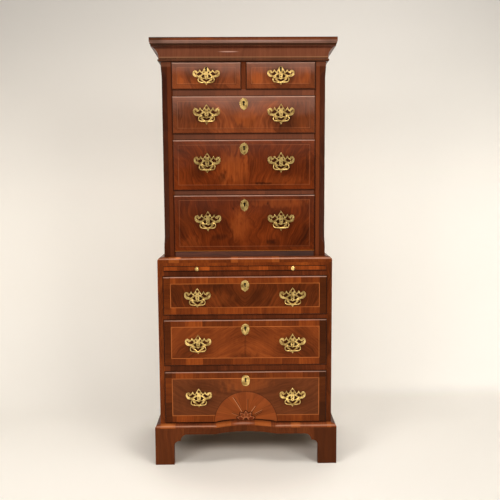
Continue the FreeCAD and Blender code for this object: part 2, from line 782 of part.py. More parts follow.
def bail(drawer, x, z):
    """A swan-necked bail: ends turned into the posts' eyes, necks that swing out, a thick middle."""
    y = drawer.face - lip_proud - plate_thickness - pivot_standoff
    pin_start = (post_spread - post_head) / 2
    half = [(pin_start, 0.0)] + [(a * bail_half_width, b * bail_drop) for a, b in bail_path_shares]
    points = half + [(-a, b) for a, b in reversed(half)]
    path = [Vector(x + a, y, z + b) for a, b in points]
    radii = [bail_pin_radius + (bail_middle_radius - bail_pin_radius) * -b / bail_drop
             for a, b in points]
    return faceted_bar(path, radii, bail_facets, Vector(0, 1, 0))


def escutcheon(drawer):
    """The pierced cartouche round a long drawer's keyhole."""
    seat = drawer.face - lip_proud
    z = drawer.lip_top - drawer.key_drop
    place = lambda a, b: Vector(drawer.middle + a, seat, z + b)
    other = [(-a, b) for a, b in reversed(escutcheon_shares[1:-1])]
    cartouche = prism(escutcheon_shares + tuple(other), place, Vector(0, -plate_thickness, 0),
                      escutcheon_half_width, escutcheon_half_height)
    return cartouche.cut(keyhole(drawer.middle, keyhole_height(drawer), seat - plate_thickness, seat))


def lock_case(drawer):
    """The lock let into the back of a front, with its bolt's slot and its keyhole."""
    front_of_lock = drawer.face + front_thickness - lock_depth
    key = keyhole(drawer.middle, keyhole_height(drawer), front_of_lock, front_of_lock + lock_depth / 2)
    slot = bolt_box(drawer, bolt_clearance)
    slot.translate(Vector(0, 0, bolt_clearance))
    return lock_space(drawer).cut(bolt_box(drawer, bolt_clearance)).cut(slot).cut(key)


def make_drawer(drawer):
    """All of one drawer: its front, box, brasses, lock bolt and bails."""
    front, box_boards = drawer_box(drawer, drawer_front(drawer))
    fronts = [front]
    if drawer is lowest:
        front, core, bottom_board = sunburst_niche(front, box_boards[-1])
        fronts = [front, core]
        box_boards[-1] = bottom_board
    add(f"{drawer.name}_front", fronts)
    add(f"{drawer.name}_box", box_boards)
    z = handle_height(drawer)
    brasses = []
    for side, x in drawer.handles.items():
        brasses.append(handle_plate(drawer, x, z))
        for post_x in (x - post_spread / 2, x + post_spread / 2):
            brasses.append(post(drawer, post_x, z))
        bail_name = f"{drawer.name}_{side}_bail" if side else f"{drawer.name}_bail"
        add(bail_name, [bail(drawer, x, z)])
    if drawer not in short_drawers:
        brasses.append(escutcheon(drawer))
    brasses.append(lock_case(drawer))
    add(f"{drawer.name}_brasses", brasses)
    add(f"{drawer.name}_bolt", [bolt_box(drawer, 0)])


def brushing_slide():
    """The clothes-brushing slide: a board with a lipping across its front, and two knobs."""
    half = lower_opening - slide_clearance
    low = slide_bottom + slide_clearance
    high = slide_top - slide_clearance
    edge_back = lower_front + slide_edge_width
    add("brushing_slide", [
        box(-half, half, lower_front, edge_back, low, high),
        box(-half, half, edge_back, lower_front + slide_depth, low, high)])
    path = [Vector(slide_knob_spread / 2, lower_front - b * knob_length,
                   (slide_bottom + slide_top) / 2) for a, b in knob_profile_shares]
    radii = [a * knob_radius for a, b in knob_profile_shares]
    add("slide_knobs", both(faceted_bar(path, radii, knob_facets, Vector(0, 0, 1))))


def build():
    lower_carcase()
    waist()
    plinth()
    bracket_feet()
    upper_carcase()
    cornice()
    brushing_slide()
    for drawer in drawers:
        make_drawer(drawer)


build()
os.makedirs("parts", exist_ok=True)
for node, shapes in nodes.items():
    Part.makeCompound(shapes).exportStep(f"parts/{node}.step")
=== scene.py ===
import json
import math
from collections import namedtuple

import bmesh
import bpy
from mathutils import Matrix, Vector


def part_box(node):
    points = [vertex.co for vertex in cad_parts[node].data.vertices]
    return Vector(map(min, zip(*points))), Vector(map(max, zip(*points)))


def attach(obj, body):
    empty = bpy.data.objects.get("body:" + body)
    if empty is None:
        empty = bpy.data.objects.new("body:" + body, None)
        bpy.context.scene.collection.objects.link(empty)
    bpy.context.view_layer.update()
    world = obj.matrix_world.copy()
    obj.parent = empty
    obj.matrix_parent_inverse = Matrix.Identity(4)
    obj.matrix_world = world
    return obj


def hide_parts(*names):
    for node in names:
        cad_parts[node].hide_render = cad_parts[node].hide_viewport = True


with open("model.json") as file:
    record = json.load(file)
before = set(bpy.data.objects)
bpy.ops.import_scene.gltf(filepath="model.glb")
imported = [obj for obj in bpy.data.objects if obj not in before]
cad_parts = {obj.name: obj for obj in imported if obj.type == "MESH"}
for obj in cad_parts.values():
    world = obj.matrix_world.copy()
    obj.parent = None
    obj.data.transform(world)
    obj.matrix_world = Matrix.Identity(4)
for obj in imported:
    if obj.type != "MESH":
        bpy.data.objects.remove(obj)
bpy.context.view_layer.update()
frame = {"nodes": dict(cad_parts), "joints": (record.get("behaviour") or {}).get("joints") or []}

# The looks of a walnut chest-on-chest, in metres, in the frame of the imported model: X across the
# front, Y from the front to the back, Z up from the floor. Colours are written as screen values
# from 0 to 255 and turned into linear light where they are used.

scene = bpy.context.scene
nodes = frame["nodes"]
joints = {joint["name"]: joint for joint in frame["joints"]}

LONG_DRAWERS = [f"{tier}_drawer_{number}" for tier in ("lower", "upper") for number in (1, 2, 3)]
SHORT_DRAWERS = ["short_drawer_left", "short_drawer_right"]
DRAWERS = LONG_DRAWERS + SHORT_DRAWERS
KEY_PLACES = {"lower_drawer_1": 0.8005, "lower_drawer_2": 0.6075, "lower_drawer_3": 0.3765,
              "upper_drawer_1": 1.579, "upper_drawer_2": 1.3905, "upper_drawer_3": 1.1485,
              "short_drawer_left": 1.72, "short_drawer_right": 1.72}


def add_object(name, data):
    made = bpy.data.objects.new(name, data)
    scene.collection.objects.link(made)
    return made


# Camera

CAMERA_PLACE = (-0.0075, -2.86927, 1.22949)
CAMERA_PITCH = 0.1031
CAMERA_YAW = 0.0114
CAMERA_ROLL = -0.0059
FOCAL_PIXELS = 616.14
IMAGE_PIXELS = 500
SENSOR_WIDTH = 36.0


def make_camera():
    """The photograph's viewpoint, from the lines of the chest fitted to a pinhole camera."""
    data = bpy.data.cameras.new("camera")
    data.sensor_width = SENSOR_WIDTH
    data.lens = FOCAL_PIXELS / IMAGE_PIXELS * SENSOR_WIDTH
    camera = add_object("camera", data)
    place = Matrix.Translation(CAMERA_PLACE)
    for angle, axis in ((-CAMERA_YAW, "Z"), (math.pi / 2 - CAMERA_PITCH, "X"), (CAMERA_ROLL, "Z")):
        place = place @ Matrix.Rotation(angle, 4, axis)
    camera.matrix_world = place
    scene.camera = camera


# Building blocks of the materials

def linear(colour):
    """A colour from screen values to linear light, with full cover."""
    channels = []
    for value in colour:
        share = value / 255
        channels.append(share / 12.92 if share <= 0.04045 else ((share + 0.055) / 1.055) ** 2.4)
    return tuple(channels) + (1.0,)


class Field:
    """A number that varies over a surface. Sums and products of fields become math nodes."""

    def __init__(self, paint, socket):
        self.paint = paint
        self.socket = socket

    def __abs__(self):
        return self.paint.math("ABSOLUTE", self)


def add_operator(symbol, operation):
    """Lets fields be summed, multiplied and so on, with the field on either side."""
    setattr(Field, f"__{symbol}__", lambda self, other: self.paint.math(operation, self, other))
    setattr(Field, f"__r{symbol}__", lambda self, other: self.paint.math(operation, other, self))


for symbol, operation in (("add", "ADD"), ("sub", "SUBTRACT"), ("mul", "MULTIPLY"),
                          ("truediv", "DIVIDE")):
    add_operator(symbol, operation)


class Paint:
    """A material whose nodes are written as formulas over the object's own coordinates."""

    def __init__(self, name):
        self.material = bpy.data.materials.new(name)
        self.material.use_nodes = True
        self.tree = self.material.node_tree
        self.shader = self.tree.nodes["Principled BSDF"]
        self.x, self.y, self.z = self.split(self.node("TexCoord", {}, "Object"))

    def set(self, name, value):
        self.shader.inputs[name].default_value = value

    def feed(self, socket, value):
        if isinstance(value, Field):
            self.tree.links.new(value.socket, socket)
        else:
            socket.default_value = value

    def node(self, kind, inputs, output=0, **settings):
        """Adds a node with its settings and inputs, and gives one of its outputs."""
        made = self.tree.nodes.new(f"ShaderNode{kind}")
        for name, value in settings.items():
            setattr(made, name, value)
        for name, value in inputs.items():
            self.feed(made.inputs[name], value)
        return Field(self, made.outputs[output])

    def split(self, vector):
        node = self.tree.nodes.new("ShaderNodeSeparateXYZ")
        self.feed(node.inputs[0], vector)
        return [Field(self, output) for output in node.outputs]

    def math(self, operation, first, second=0.0):
        return self.node("Math", {0: first, 1: second}, operation=operation)

    def least(self, first, second):
        return self.math("MINIMUM", first, second)

    def most(self, first, second):
        return self.math("MAXIMUM", first, second)

    def length(self, *parts):
        """The length of a line from its parts along each axis."""
        total = parts[0] * parts[0]
        for part in parts[1:]:
            total = total + part * part
        return self.math("SQRT", total)

    def step(self, value, edge, soft):
        """0 below an edge and 1 above it, over a soft width."""
        ends = {"Value": value, "From Min": edge - soft / 2, "From Max": edge + soft / 2}
        return self.node("MapRange", ends, "Result", interpolation_type="SMOOTHSTEP")

    def stripe(self, value, start, end, soft):
        """1 between two edges and 0 outside them."""
        return self.step(value, start, soft) * (1 - self.step(value, end, soft))

    def point(self, x, y, z):
        return self.node("CombineXYZ", {0: x, 1: y, 2: z})

    def noise(self, x, y, z, detail=2.0):
        return self.node("TexNoise", {"Vector": self.point(x, y, z), "Scale": 1.0, "Detail": detail})

    def clouds(self, scale, detail=4.0):
        """Noise of one scale all ways, in patches per metre."""
        return self.noise(self.x * scale, self.y * scale, self.z * scale, detail)

    def chance(self, value, seed):
        """A random number for each whole number, such as each piece of a band."""
        place = self.point(self.math("FLOOR", value), seed, 0.0)
        return self.node("TexWhiteNoise", {"Vector": place}, "Value", noise_dimensions="2D")

    def ramp(self, value, stops):
        node = self.tree.nodes.new("ShaderNodeValToRGB")
        self.feed(node.inputs[0], value)
        elements = node.color_ramp.elements
        for extra in range(len(stops) - 2):
            elements.new(0.5)
        for element, (place, colour) in zip(elements, stops):
            element.position = place
            element.color = linear(colour)
        return Field(self, node.outputs[0])

    def mix(self, share, first, second):
        shades = [shade if isinstance(shade, Field) else linear(shade) for shade in (first, second)]
        return self.node("Mix", {0: share, 6: shades[0], 7: shades[1]}, 2, data_type="RGBA")

    def tone(self, share, colour, low, high):
        """Scales a colour's brightness between low and high by a share from 0 to 1."""
        scale = share * (high - low) + low
        return self.node("VectorMath", {0: colour, "Scale": scale}, operation="SCALE")

    def spot(self, across, up, half_width, half_height):
        """1 in the middle of a soft oval and 0 outside it."""
        reach = self.length(across * (1 / half_width), up * (1 / half_height))
        return 1 - self.step(reach, 0.65, 0.7)

    def surface(self, colour, roughness, height=None, bump_metres=0.0):
        """Joins a colour, a roughness and a height to the shader."""
        self.feed(self.shader.inputs["Base Color"], colour)
        self.feed(self.shader.inputs["Roughness"], roughness)
        if height is not None:
            bump = self.node("Bump", {"Height": height, "Distance": bump_metres}, "Normal")
            self.feed(self.shader.inputs["Normal"], bump)
        return self.material


# Woods. The tones run from the darkest to the lightest streak of each wood.

POLISH_ROUGHNESS = 0.34
BARE_ROUGHNESS = 0.68
POLISH_GLOSS = 0.2
POLISH_TINT = (255, 196, 150)
PORE_DEPTH = 0.0001
HAIR = 0.0006
BOARD_TONES = (0.82, 1.12)
BOARD_JOINT = (0.006, 0.006)
JOINT_COLOUR = (44, 28, 16)

FIELD_TONES = ((0.0, (40, 14, 4)), (0.35, (82, 34, 11)), (0.6, (112, 50, 18)), (1.0, (152, 76, 30)))
WARM_TONES = ((0.0, (62, 24, 8)), (0.35, (108, 48, 18)), (0.6, (138, 66, 27)), (1.0, (172, 94, 44)))
RED_TONES = ((0.0, (44, 13, 4)), (0.35, (88, 33, 9)), (0.62, (116, 48, 15)), (1.0, (160, 78, 30)))
MAUVE_TONES = ((0.0, (46, 19, 9)), (0.35, (92, 44, 23)), (0.62, (122, 60, 31)), (1.0, (162, 86, 44)))
DEEP_TONES = ((0.0, (62, 28, 13)), (0.4, (96, 48, 24)), (0.7, (112, 58, 30)), (1.0, (136, 74, 40)))
DARK_TONES = ((0.0, (34, 12, 5)), (0.4, (72, 30, 13)), (0.7, (96, 44, 20)), (1.0, (130, 66, 30)))
BAND_TONES = ((0.0, (70, 27, 8)), (0.4, (110, 48, 17)), (0.7, (136, 64, 22)), (1.0, (170, 90, 34)))
RAIL_TONES = ((0.0, (38, 14, 6)), (0.4, (80, 34, 15)), (0.7, (104, 48, 22)), (1.0, (134, 66, 34)))
FOOT_TONES = ((0.0, (40, 15, 6)), (0.4, (78, 35, 15)), (0.7, (98, 47, 21)), (1.0, (128, 66, 32)))
CORNICE_TONES = ((0.0, (40, 20, 12)), (0.4, (84, 48, 32)), (0.7, (112, 64, 42)), (1.0, (146, 84, 50)))
OAK_TONES = ((0.0, (120, 84, 48)), (0.5, (158, 118, 74)), (1.0, (188, 150, 102)))
PINE_TONES = ((0.0, (112, 76, 42)), (0.5, (146, 104, 62)), (1.0, (172, 130, 84)))


def grain(paint, along, across, seed, curl=1.0):
    """A field from 0 to 1 of broad figure, streaks and pores that run along one way."""
    warp = paint.noise(along * 2.6, across * 3.4, seed, detail=3.0) - 0.5
    broad = paint.noise(along * 1.7 + seed, across * 9.0 + warp * (5.0 * curl), seed, detail=3.0)
    streaks = paint.noise(along * 4.0, across * 60.0 + warp * (26.0 * curl), seed + 3.1, detail=3.0)
    lines = paint.noise(along * 9.0, across * 170.0 + warp * (44.0 * curl), seed + 5.3)
    fine = paint.noise(along * 30.0, across * 420.0 + warp * 60.0, seed + 7.7)
    return broad * 0.85 + streaks * 0.6 + lines * 0.55 + fine * 0.4 - 0.755


def wood_surface(paint, colour, marks, along, across, seed, rough=POLISH_ROUGHNESS, spread=0.2):
    """Wood with open pores and a sheen that marks make uneven. Show wood is waxed as well."""
    if rough == POLISH_ROUGHNESS:
        paint.set("Specular IOR Level", POLISH_GLOSS)
        paint.set("Specular Tint", linear(POLISH_TINT))
    pores = paint.noise(along * 60.0, across * 1400.0, seed)
    return paint.surface(colour, marks * spread + (rough - spread / 2), pores, PORE_DEPTH)


def plain_wood(name, tones, along, across, seed, rough=POLISH_ROUGHNESS, curl=1.0, behind=None,
               inside=None, seamed=False, strips=(), board=None):
    """Wood whose grain runs along one axis, named by its letter. Show wood may be a facing only:
    behind a depth, or inside a half width, it is pine. Strips are upright bands of another colour,
    some of another tone and some of painted shade.
    Boards of a given width differ in tone and have dark joints."""
    paint = Paint(name)
    axes = {"x": paint.x, "y": paint.y, "z": paint.z}
    other = next(letter for letter in "xyz" if letter not in (along, across))
    run = axes[along]
    side = axes[across] + axes[other] * 0.8
    figure = grain(paint, run, side, seed, curl)
    colour = paint.ramp(figure, tones)
    pine = paint.ramp(figure, PINE_TONES)
    if board is not None:
        place = axes[across] / board + 0.5
        pine = paint.tone(paint.chance(place, seed), pine, *BOARD_TONES)
        joint = paint.stripe(paint.math("FRACT", place), -1.0, *BOARD_JOINT)
        pine = paint.mix(joint * 0.75, pine, JOINT_COLOUR)
        colour = pine if behind is None else colour
    if behind is not None:
        colour = paint.mix(paint.step(paint.y, behind, HAIR), colour, pine)
    if inside is not None:
        half, front = inside
        shown = paint.most(paint.step(abs(paint.x), half, HAIR), 1 - paint.step(paint.y, front, HAIR))
        colour = paint.mix(shown, pine, colour)
    if seamed:
        colour = seam_shade_and_wax(paint, colour)
    for low, high, height, shade, share in strips:
        place = paint.x if low < 0 else abs(paint.x)
        strip = paint.stripe(place, low, high, 0.002) * paint.step(paint.z, height, 0.008)
        colour = paint.mix(strip * share, colour, shade)
    marks = paint.noise(paint.x * 9.0, paint.y * 9.0, paint.z * 9.0 + seed, detail=4.0)
    return wood_surface(paint, colour, marks, run, side, seed, rough, 0.16)


BAND_CURL = 0.35
PIECE_JOINT = (40, 14, 6)
PIECE_SHADE = (168, 88, 36)


def banded(paint, place, across, seed, piece=0.07, contrast=(0.72, 1.22), tones=BAND_TONES):
    """Cross-grained veneer laid in short pieces along a place, each of its own tone."""
    number = place / piece + paint.noise(place * 3.0, seed, 0.5, detail=0.0) * 1.6
    each = paint.chance(number, seed)
    figure = grain(paint, across + each * 3.0, place, seed + 2.0, BAND_CURL)
    colour = paint.tone(each, paint.ramp(figure * 0.8 + each * 0.22, tones), *contrast)
    joint = paint.stripe(paint.math("FRACT", number), -1.0, 0.012, 0.01)
    return paint.mix(joint * 0.55, colour, PIECE_JOINT)


def banded_moulding(name, seed, tones=BAND_TONES, piece=0.085, contrast=(0.7, 1.15), pieces=(),
                    shade=PIECE_SHADE, edge=0.0, raised=None, bands=(), glints=(), seamed=False):
    """Mouldings and edges veneered across their length, on the front and on both sides. Pieces
    are places whose veneer has a shade of its own. Bands are level strips of another colour:
    wood of another tone, painted shade, painted sheen and painted highlights. Glints are soft
    ovals of another colour, some painted highlights and some lighter and darker patches. Faces
    that turn upward in front of the edge depth get a painted highlight."""
    paint = Paint(name)
    out_x, out_y, out_z = paint.split(paint.node("NewGeometry", {}, "Normal"))
    to_side = paint.step(abs(out_x), 0.72, 0.04)
    run = paint.x * (1 - to_side) + (paint.y + 3.0) * to_side
    colour = banded(paint, run, paint.z, seed, piece, contrast, tones)
    for start, end in pieces:
        colour = paint.mix(paint.stripe(run, start, end, 0.001) * 0.5, colour, shade)
    if raised is not None:
        low, high, lighter = raised
        lit = paint.ramp(grain(paint, paint.z, run, seed + 4.0, BAND_CURL), lighter)
        colour = paint.mix(paint.stripe(paint.z, low, high, 0.0004), colour, lit)
    for low, high, band_shade, share in bands:
        colour = paint.mix(paint.stripe(paint.z, low, high, 0.0008) * share, colour, band_shade)
    # Painted highlight on faces that turn upward in front of the edge depth, in patches.
    if edge:
        upward = paint.stripe(out_z, 0.42, 0.86, 0.16) * (1 - paint.step(paint.y, edge, 0.002))
        patchiness = paint.noise(paint.x * 9.0, paint.y * 9.0, seed, detail=3.0) * 0.9 + 0.1
        colour = paint.mix(upward * patchiness, colour, EDGE_LIGHT)
    for across, up, half_width, half_height, glint, share in glints:
        spot = paint.spot(paint.x - across, paint.z - up, half_width, half_height)
        colour = paint.mix(spot * share, colour, glint)
    if seamed:
        colour = seam_shade_and_wax(paint, colour)
    return wood_surface(paint, colour, paint.clouds(14.0), paint.z, run, seed)


SEAM_SIDE = 0.0026
SEAM_TOP = 0.002
SEAM_FOOT = 0.0042
SEAM_REACH = 0.0065
SEAM_SHADE_AND_WAX = (24, 10, 6)
SEAM_DEPTH = 0.0015
EDGE_LIGHT = (200, 148, 122)


def seam_shade_and_wax(paint, colour):
    """Paints shade close round the drawers and the slide, reaching furthest below them, and the old wax
    that gathers there.
    """
    close = 0.0
    for name in [f"{drawer}_front" for drawer in LONG_DRAWERS + SHORT_DRAWERS[:1]] + ["brushing_slide"]:
        low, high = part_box(name)
        middle = abs(low.x + high.x) / 2
        beside = abs(abs(paint.x) - middle) - ((high.x - low.x) / 2 + SEAM_SIDE)
        above = paint.z - (high.z + SEAM_TOP)
        below = (low.z - SEAM_FOOT) - paint.z
        out = paint.most(beside, paint.most(above, below))
        close = paint.most(close, paint.stripe(out, -SEAM_REACH, 0.0, 0.0016))
    shown = 1 - paint.step(paint.y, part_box("corner_posts")[0].y + SEAM_DEPTH, HAIR)
    return paint.mix(close * shown * 0.75, colour, SEAM_SHADE_AND_WAX)


# Drawer fronts

LOWER_BAND = 0.031
UPPER_BAND = 0.019
STRING_WIDTH = 0.0026
STRING_COLOUR = (196, 112, 56)
LINE_WIDTH = 0.0016
CUT_SOFT = 0.0012
LINE_COLOUR = (44, 18, 10)
LINE_LIGHT = (184, 112, 72)
BAND_DARK = (40, 18, 8)
LIP_LIGHT = (206, 166, 148)
LIP_LIGHT_SPAN = (0.0026, 0.0054)
LIP_SHADOW = (44, 18, 10)
LIP_FOOT = (176, 112, 48)
GLOW = (166, 82, 34)
OAK_DEPTH = 0.001
HOLLOW_OAK_DEPTH = 0.025
PLATE_RISE = 0.008
PLATE_SHADOW = (38, 15, 4)
PLATE_SHADOWS = ((0.076, 0.05, 0.62), (0.056, 0.036, 0.85))
KEY_SHADOW = (0.014, 0.024)
SHORT_KEY_SHADOW = (0.0085, 0.015)
KEYHOLE_SHADE = (6, 3, 2)
KNOT = (26, 9, 5)
REFLECTION_HAZE = (156, 124, 114)


# How one drawer's veneers differ from the others'. Marks are soft ovals of lighter or darker wood:
# across and up the front as shares, half sizes in metres, and a strength, dark if below 0.
# Reflection haze is how strongly a painted reflection pales the top of a front.
Look = namedtuple("Look", "seed angle tones curl bloom shift marks", defaults=(0.0, 0.0, ()))

LOOKS = {
    "lower_drawer_1": Look(11.3, 62, FIELD_TONES, 1.2, marks=(
        (0.0, 0.55, 0.06, 0.04, -0.3), (-0.34, 0.4, 0.05, 0.03, 0.22),
        (0.36, 0.42, 0.04, 0.03, 0.1), (-0.55, 0.75, 0.09, 0.012, -0.3),
        (0.72, 0.5, 0.09, 0.04, -0.25))),
    "lower_drawer_2": Look(24.8, -38, WARM_TONES, 0.8, marks=(
        (0.0, 0.2, 0.05, 0.012, -0.4), (0.0, 0.5, 0.004, 0.08, -0.4), (-0.3, 0.45, 0.06, 0.04, 0.2),
        (0.3, 0.45, 0.06, 0.04, 0.2), (0.74, 0.5, 0.09, 0.05, -0.2))),
    "lower_drawer_3": Look(37.1, 12, DEEP_TONES, 0.8, marks=(
        (-0.62, 0.55, 0.1, 0.06, -0.22), (0.66, 0.5, 0.09, 0.05, -0.15),
        (0.0, 0.78, 0.09, 0.04, 0.4))),
    "upper_drawer_1": Look(42.6, 84, MAUVE_TONES, 1.1, bloom=0.42, shift=-0.02, marks=(
        (-0.92, 0.57, 0.006, 0.03, -0.7), (0.03, 0.4, 0.05, 0.05, 0.45),
        (0.11, 0.28, 0.008, 0.015, -0.35), (0.42, 0.7, 0.05, 0.015, 0.35),
        (-0.6, 0.2, 0.05, 0.02, 0.2), (0.8, 0.3, 0.03, 0.05, 0.2),
        (0.66, 0.35, 0.09, 0.04, -0.28))),
    "upper_drawer_2": Look(55.9, 86, RED_TONES, 1.2, bloom=0.08, shift=-0.05, marks=(
        (0.26, 0.13, 0.045, 0.006, -0.8), (-0.65, 0.35, 0.03, 0.03, -0.45),
        (0.89, 0.5, 0.006, 0.06, -0.6), (-0.14, 0.45, 0.06, 0.07, 0.5),
        (-0.31, 0.25, 0.016, 0.02, -0.55), (0.6, 0.2, 0.07, 0.02, 0.2),
        (0.68, 0.45, 0.08, 0.06, -0.2))),
    "upper_drawer_3": Look(63.4, 82, RED_TONES, 1.3, bloom=0.04, shift=-0.1, marks=(
        (0.35, 0.15, 0.026, 0.011, -0.8), (-0.35, 0.26, 0.03, 0.013, -0.6),
        (-0.82, 0.56, 0.022, 0.05, 0.1), (-0.7, 0.5, 0.09, 0.07, -0.3),
        (-0.75, 0.15, 0.045, 0.025, 0.2), (-0.06, 0.5, 0.035, 0.06, 0.45),
        (0.53, 0.86, 0.1, 0.02, 0.35), (-0.16, 0.76, 0.004, 0.006, -0.8),
        (0.33, 0.84, 0.004, 0.005, -0.8), (0.86, 0.4, 0.012, 0.07, -0.4))),
    "short_drawer_left": Look(71.7, 88, MAUVE_TONES, 0.8, bloom=0.45, marks=(
        (-0.2, 0.3, 0.03, 0.035, 0.5), (-0.75, 0.25, 0.02, 0.02, 0.5),
        (0.85, 0.45, 0.012, 0.045, -0.4))),
    "short_drawer_right": Look(86.2, 88, MAUVE_TONES, 0.8, bloom=0.42, marks=(
        (-0.72, 0.35, 0.02, 0.03, 0.55), (-0.25, 0.3, 0.03, 0.03, 0.3),
        (0.75, 0.5, 0.012, 0.04, 0.45))),
}


def front_figure(paint, look, low, high):
    """The figured field of a drawer front, book-matched on its middle."""
    halves = abs(paint.x - (low.x + high.x) / 2)
    rise = paint.z - (low.z + high.z) / 2
    turn = math.radians(look.angle)
    along = halves * math.cos(turn) + rise * math.sin(turn)
    across = halves * math.sin(turn) - rise * math.cos(turn)
    figure = grain(paint, along, across, look.seed, look.curl)
    clouds = paint.noise(paint.x * 9.0, look.seed, paint.z * 8.0) - 0.5
    return along, across, figure + clouds * 0.5 + look.shift


def front_marks(paint, look, low, high, colour):
    """Knots, smudges and glowing patches that single out one drawer's veneer."""
    middle = (low.x + high.x) / 2
    half = (high.x - low.x) / 2
    ragged = (paint.noise(paint.x * 60.0, look.seed, paint.z * 26.0, detail=4.0) - 0.5) * 2.6
    streaks = paint.noise(paint.x * 170.0, look.seed, paint.z * 9.0, detail=3.0) * 1.3 + 0.2
    for across, up, half_width, half_height, strength in look.marks:
        place_x = paint.x + ragged * half_width - (middle + across * half)
        place_z = paint.z + ragged * half_height - (low.z + up * (high.z - low.z))
        spot = paint.spot(place_x, place_z, half_width * 1.5, half_height * 1.5)
        colour = paint.mix(spot * streaks * abs(strength), colour, KNOT if strength < 0 else GLOW)
    return colour


def lower_border(paint, look, colour, inset, from_side):
    """A cross-banded border, and the line of light stringing inside it."""
    level_band = banded(paint, paint.x, paint.z, look.seed + 1.0, 0.075, (0.75, 1.2))
    side_band = banded(paint, paint.z, paint.x, look.seed + 2.0, 0.09, (0.45, 0.8))
    in_side = 1 - paint.step(from_side, LOWER_BAND, CUT_SOFT)
    border = paint.mix(in_side, level_band, side_band)
    border = paint.mix(paint.step(paint.x, 0.3, 0.02) * in_side * 0.55, border, BAND_DARK)
    colour = paint.mix(paint.step(inset, LOWER_BAND, CUT_SOFT), border, colour)
    line = paint.stripe(inset, LOWER_BAND, LOWER_BAND + STRING_WIDTH, 0.001)
    patchiness = paint.noise(paint.x * 6.0, look.seed, paint.z * 6.0)
    return paint.mix(line * (patchiness * 1.3 + 0.05), colour, STRING_COLOUR)


def upper_border(paint, look, colour, inset, height):
    """A quiet border with a thin faded line, and a painted reflection that pales the polish towards the
    top, in patches.
    """
    border = banded(paint, paint.x + paint.z, paint.z - paint.x, look.seed + 1.0, 0.13, (0.85, 1.1),
                    look.tones)
    colour = paint.mix((1 - paint.step(inset, UPPER_BAND, CUT_SOFT)) * 0.6, colour, border)
    line_end = UPPER_BAND + LINE_WIDTH
    faded = paint.noise(paint.x * 5.0, look.seed, paint.z * 5.0)
    line = paint.stripe(inset, UPPER_BAND, line_end, 0.001)
    colour = paint.mix(line * (faded + 0.1), colour, LINE_COLOUR)
    beside = paint.stripe(inset, line_end, line_end + 0.003, 0.001)
    colour = paint.mix(beside * faded * 0.4, colour, LINE_LIGHT)
    cloud = paint.noise(paint.x * 5.0, look.seed + 5.0, paint.z * 14.0, detail=3.0)
    # Painted reflection: the front pales towards the top, in patches.
    return paint.mix(paint.step(height + cloud * 0.6, 1.05, 0.8) * look.bloom, colour, REFLECTION_HAZE)


def plate_shadows(paint, name, colour):
    """Darkens the wood under and close round each handle plate."""
    for joint_name, joint in joints.items():
        if joint_name.startswith(name) and joint_name.endswith("bail_hinge"):
            x, y, z = joint["pos_m"]
            for half_width, half_height, share in PLATE_SHADOWS:
                spot = paint.spot(paint.x - x, paint.z - (z + PLATE_RISE), half_width, half_height)
                colour = paint.mix(spot * share, colour, PLATE_SHADOW)
    return colour


def keyhole(paint, name, colour):
    """Painted shade: blackens the wood in and close round the keyhole, behind its plate."""
    low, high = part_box(f"{name}_bolt")
    half_sizes = SHORT_KEY_SHADOW if name in SHORT_DRAWERS else KEY_SHADOW
    hole = paint.spot(paint.x - (low.x + high.x) / 2, paint.z - KEY_PLACES[name], *half_sizes)
    return paint.mix(paint.least(hole * 3.0, 1.0), colour, KEYHOLE_SHADE)


def veneered_front(name):
    """A drawer front: figured field, border, rounded lip, and bare oak behind the veneer."""
    look = LOOKS[name]
    low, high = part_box(f"{name}_front")
    paint = Paint(f"{name}_veneer")
    from_side = paint.least(paint.x - low.x, high.x - paint.x)
    from_top = high.z - paint.z
    from_foot = paint.z - low.z
    inset = paint.least(from_side, paint.least(from_foot, from_top))
    along, across, figure = front_figure(paint, look, low, high)
    colour = front_marks(paint, look, low, high, paint.ramp(figure, look.tones))
    if name.startswith("lower"):
        colour = lower_border(paint, look, colour, inset, from_side)
    else:
        colour = upper_border(paint, look, colour, inset, from_foot / (high.z - low.z))
    behind = paint.step(paint.y, high.y - OAK_DEPTH, HAIR)
    if name == "lower_drawer_3":
        colour = sunburst(paint, colour)
        behind = paint.step(paint.y, low.y + HOLLOW_OAK_DEPTH, HAIR) * (1 - in_hollow(paint))
    # Painted shade round the lip's outer edge, and a painted highlight along its top edge, in patches.
    edge = 1 - paint.step(inset, LIP_LIGHT_SPAN[0], CUT_SOFT)
    colour = paint.mix(edge * 0.6, colour, LIP_SHADOW)
    top_light = paint.stripe(from_top, *LIP_LIGHT_SPAN, 0.001) * paint.step(from_side, 0.001, 0.002)
    patchy_top_highlight = paint.noise(paint.x * 7.0, look.seed + 8.0, 0.0, detail=3.0)
    colour = paint.mix(top_light * (patchy_top_highlight * 0.9 + 0.2), colour, LIP_LIGHT)
    if name == "upper_drawer_3":
        colour = paint.mix((1 - paint.step(from_foot, 0.004, 0.002)) * 0.6, colour, LIP_FOOT)
    colour = plate_shadows(paint, name, colour)
    oak = paint.ramp(grain(paint, paint.x, paint.z, look.seed + 9.0), OAK_TONES)
    colour = keyhole(paint, name, paint.mix(behind, colour, oak))
    marks = paint.noise(paint.x * 8.0, paint.z * 8.0, look.seed, detail=5.0)
    return wood_surface(paint, colour, marks, along, across, look.seed)


# Sunburst

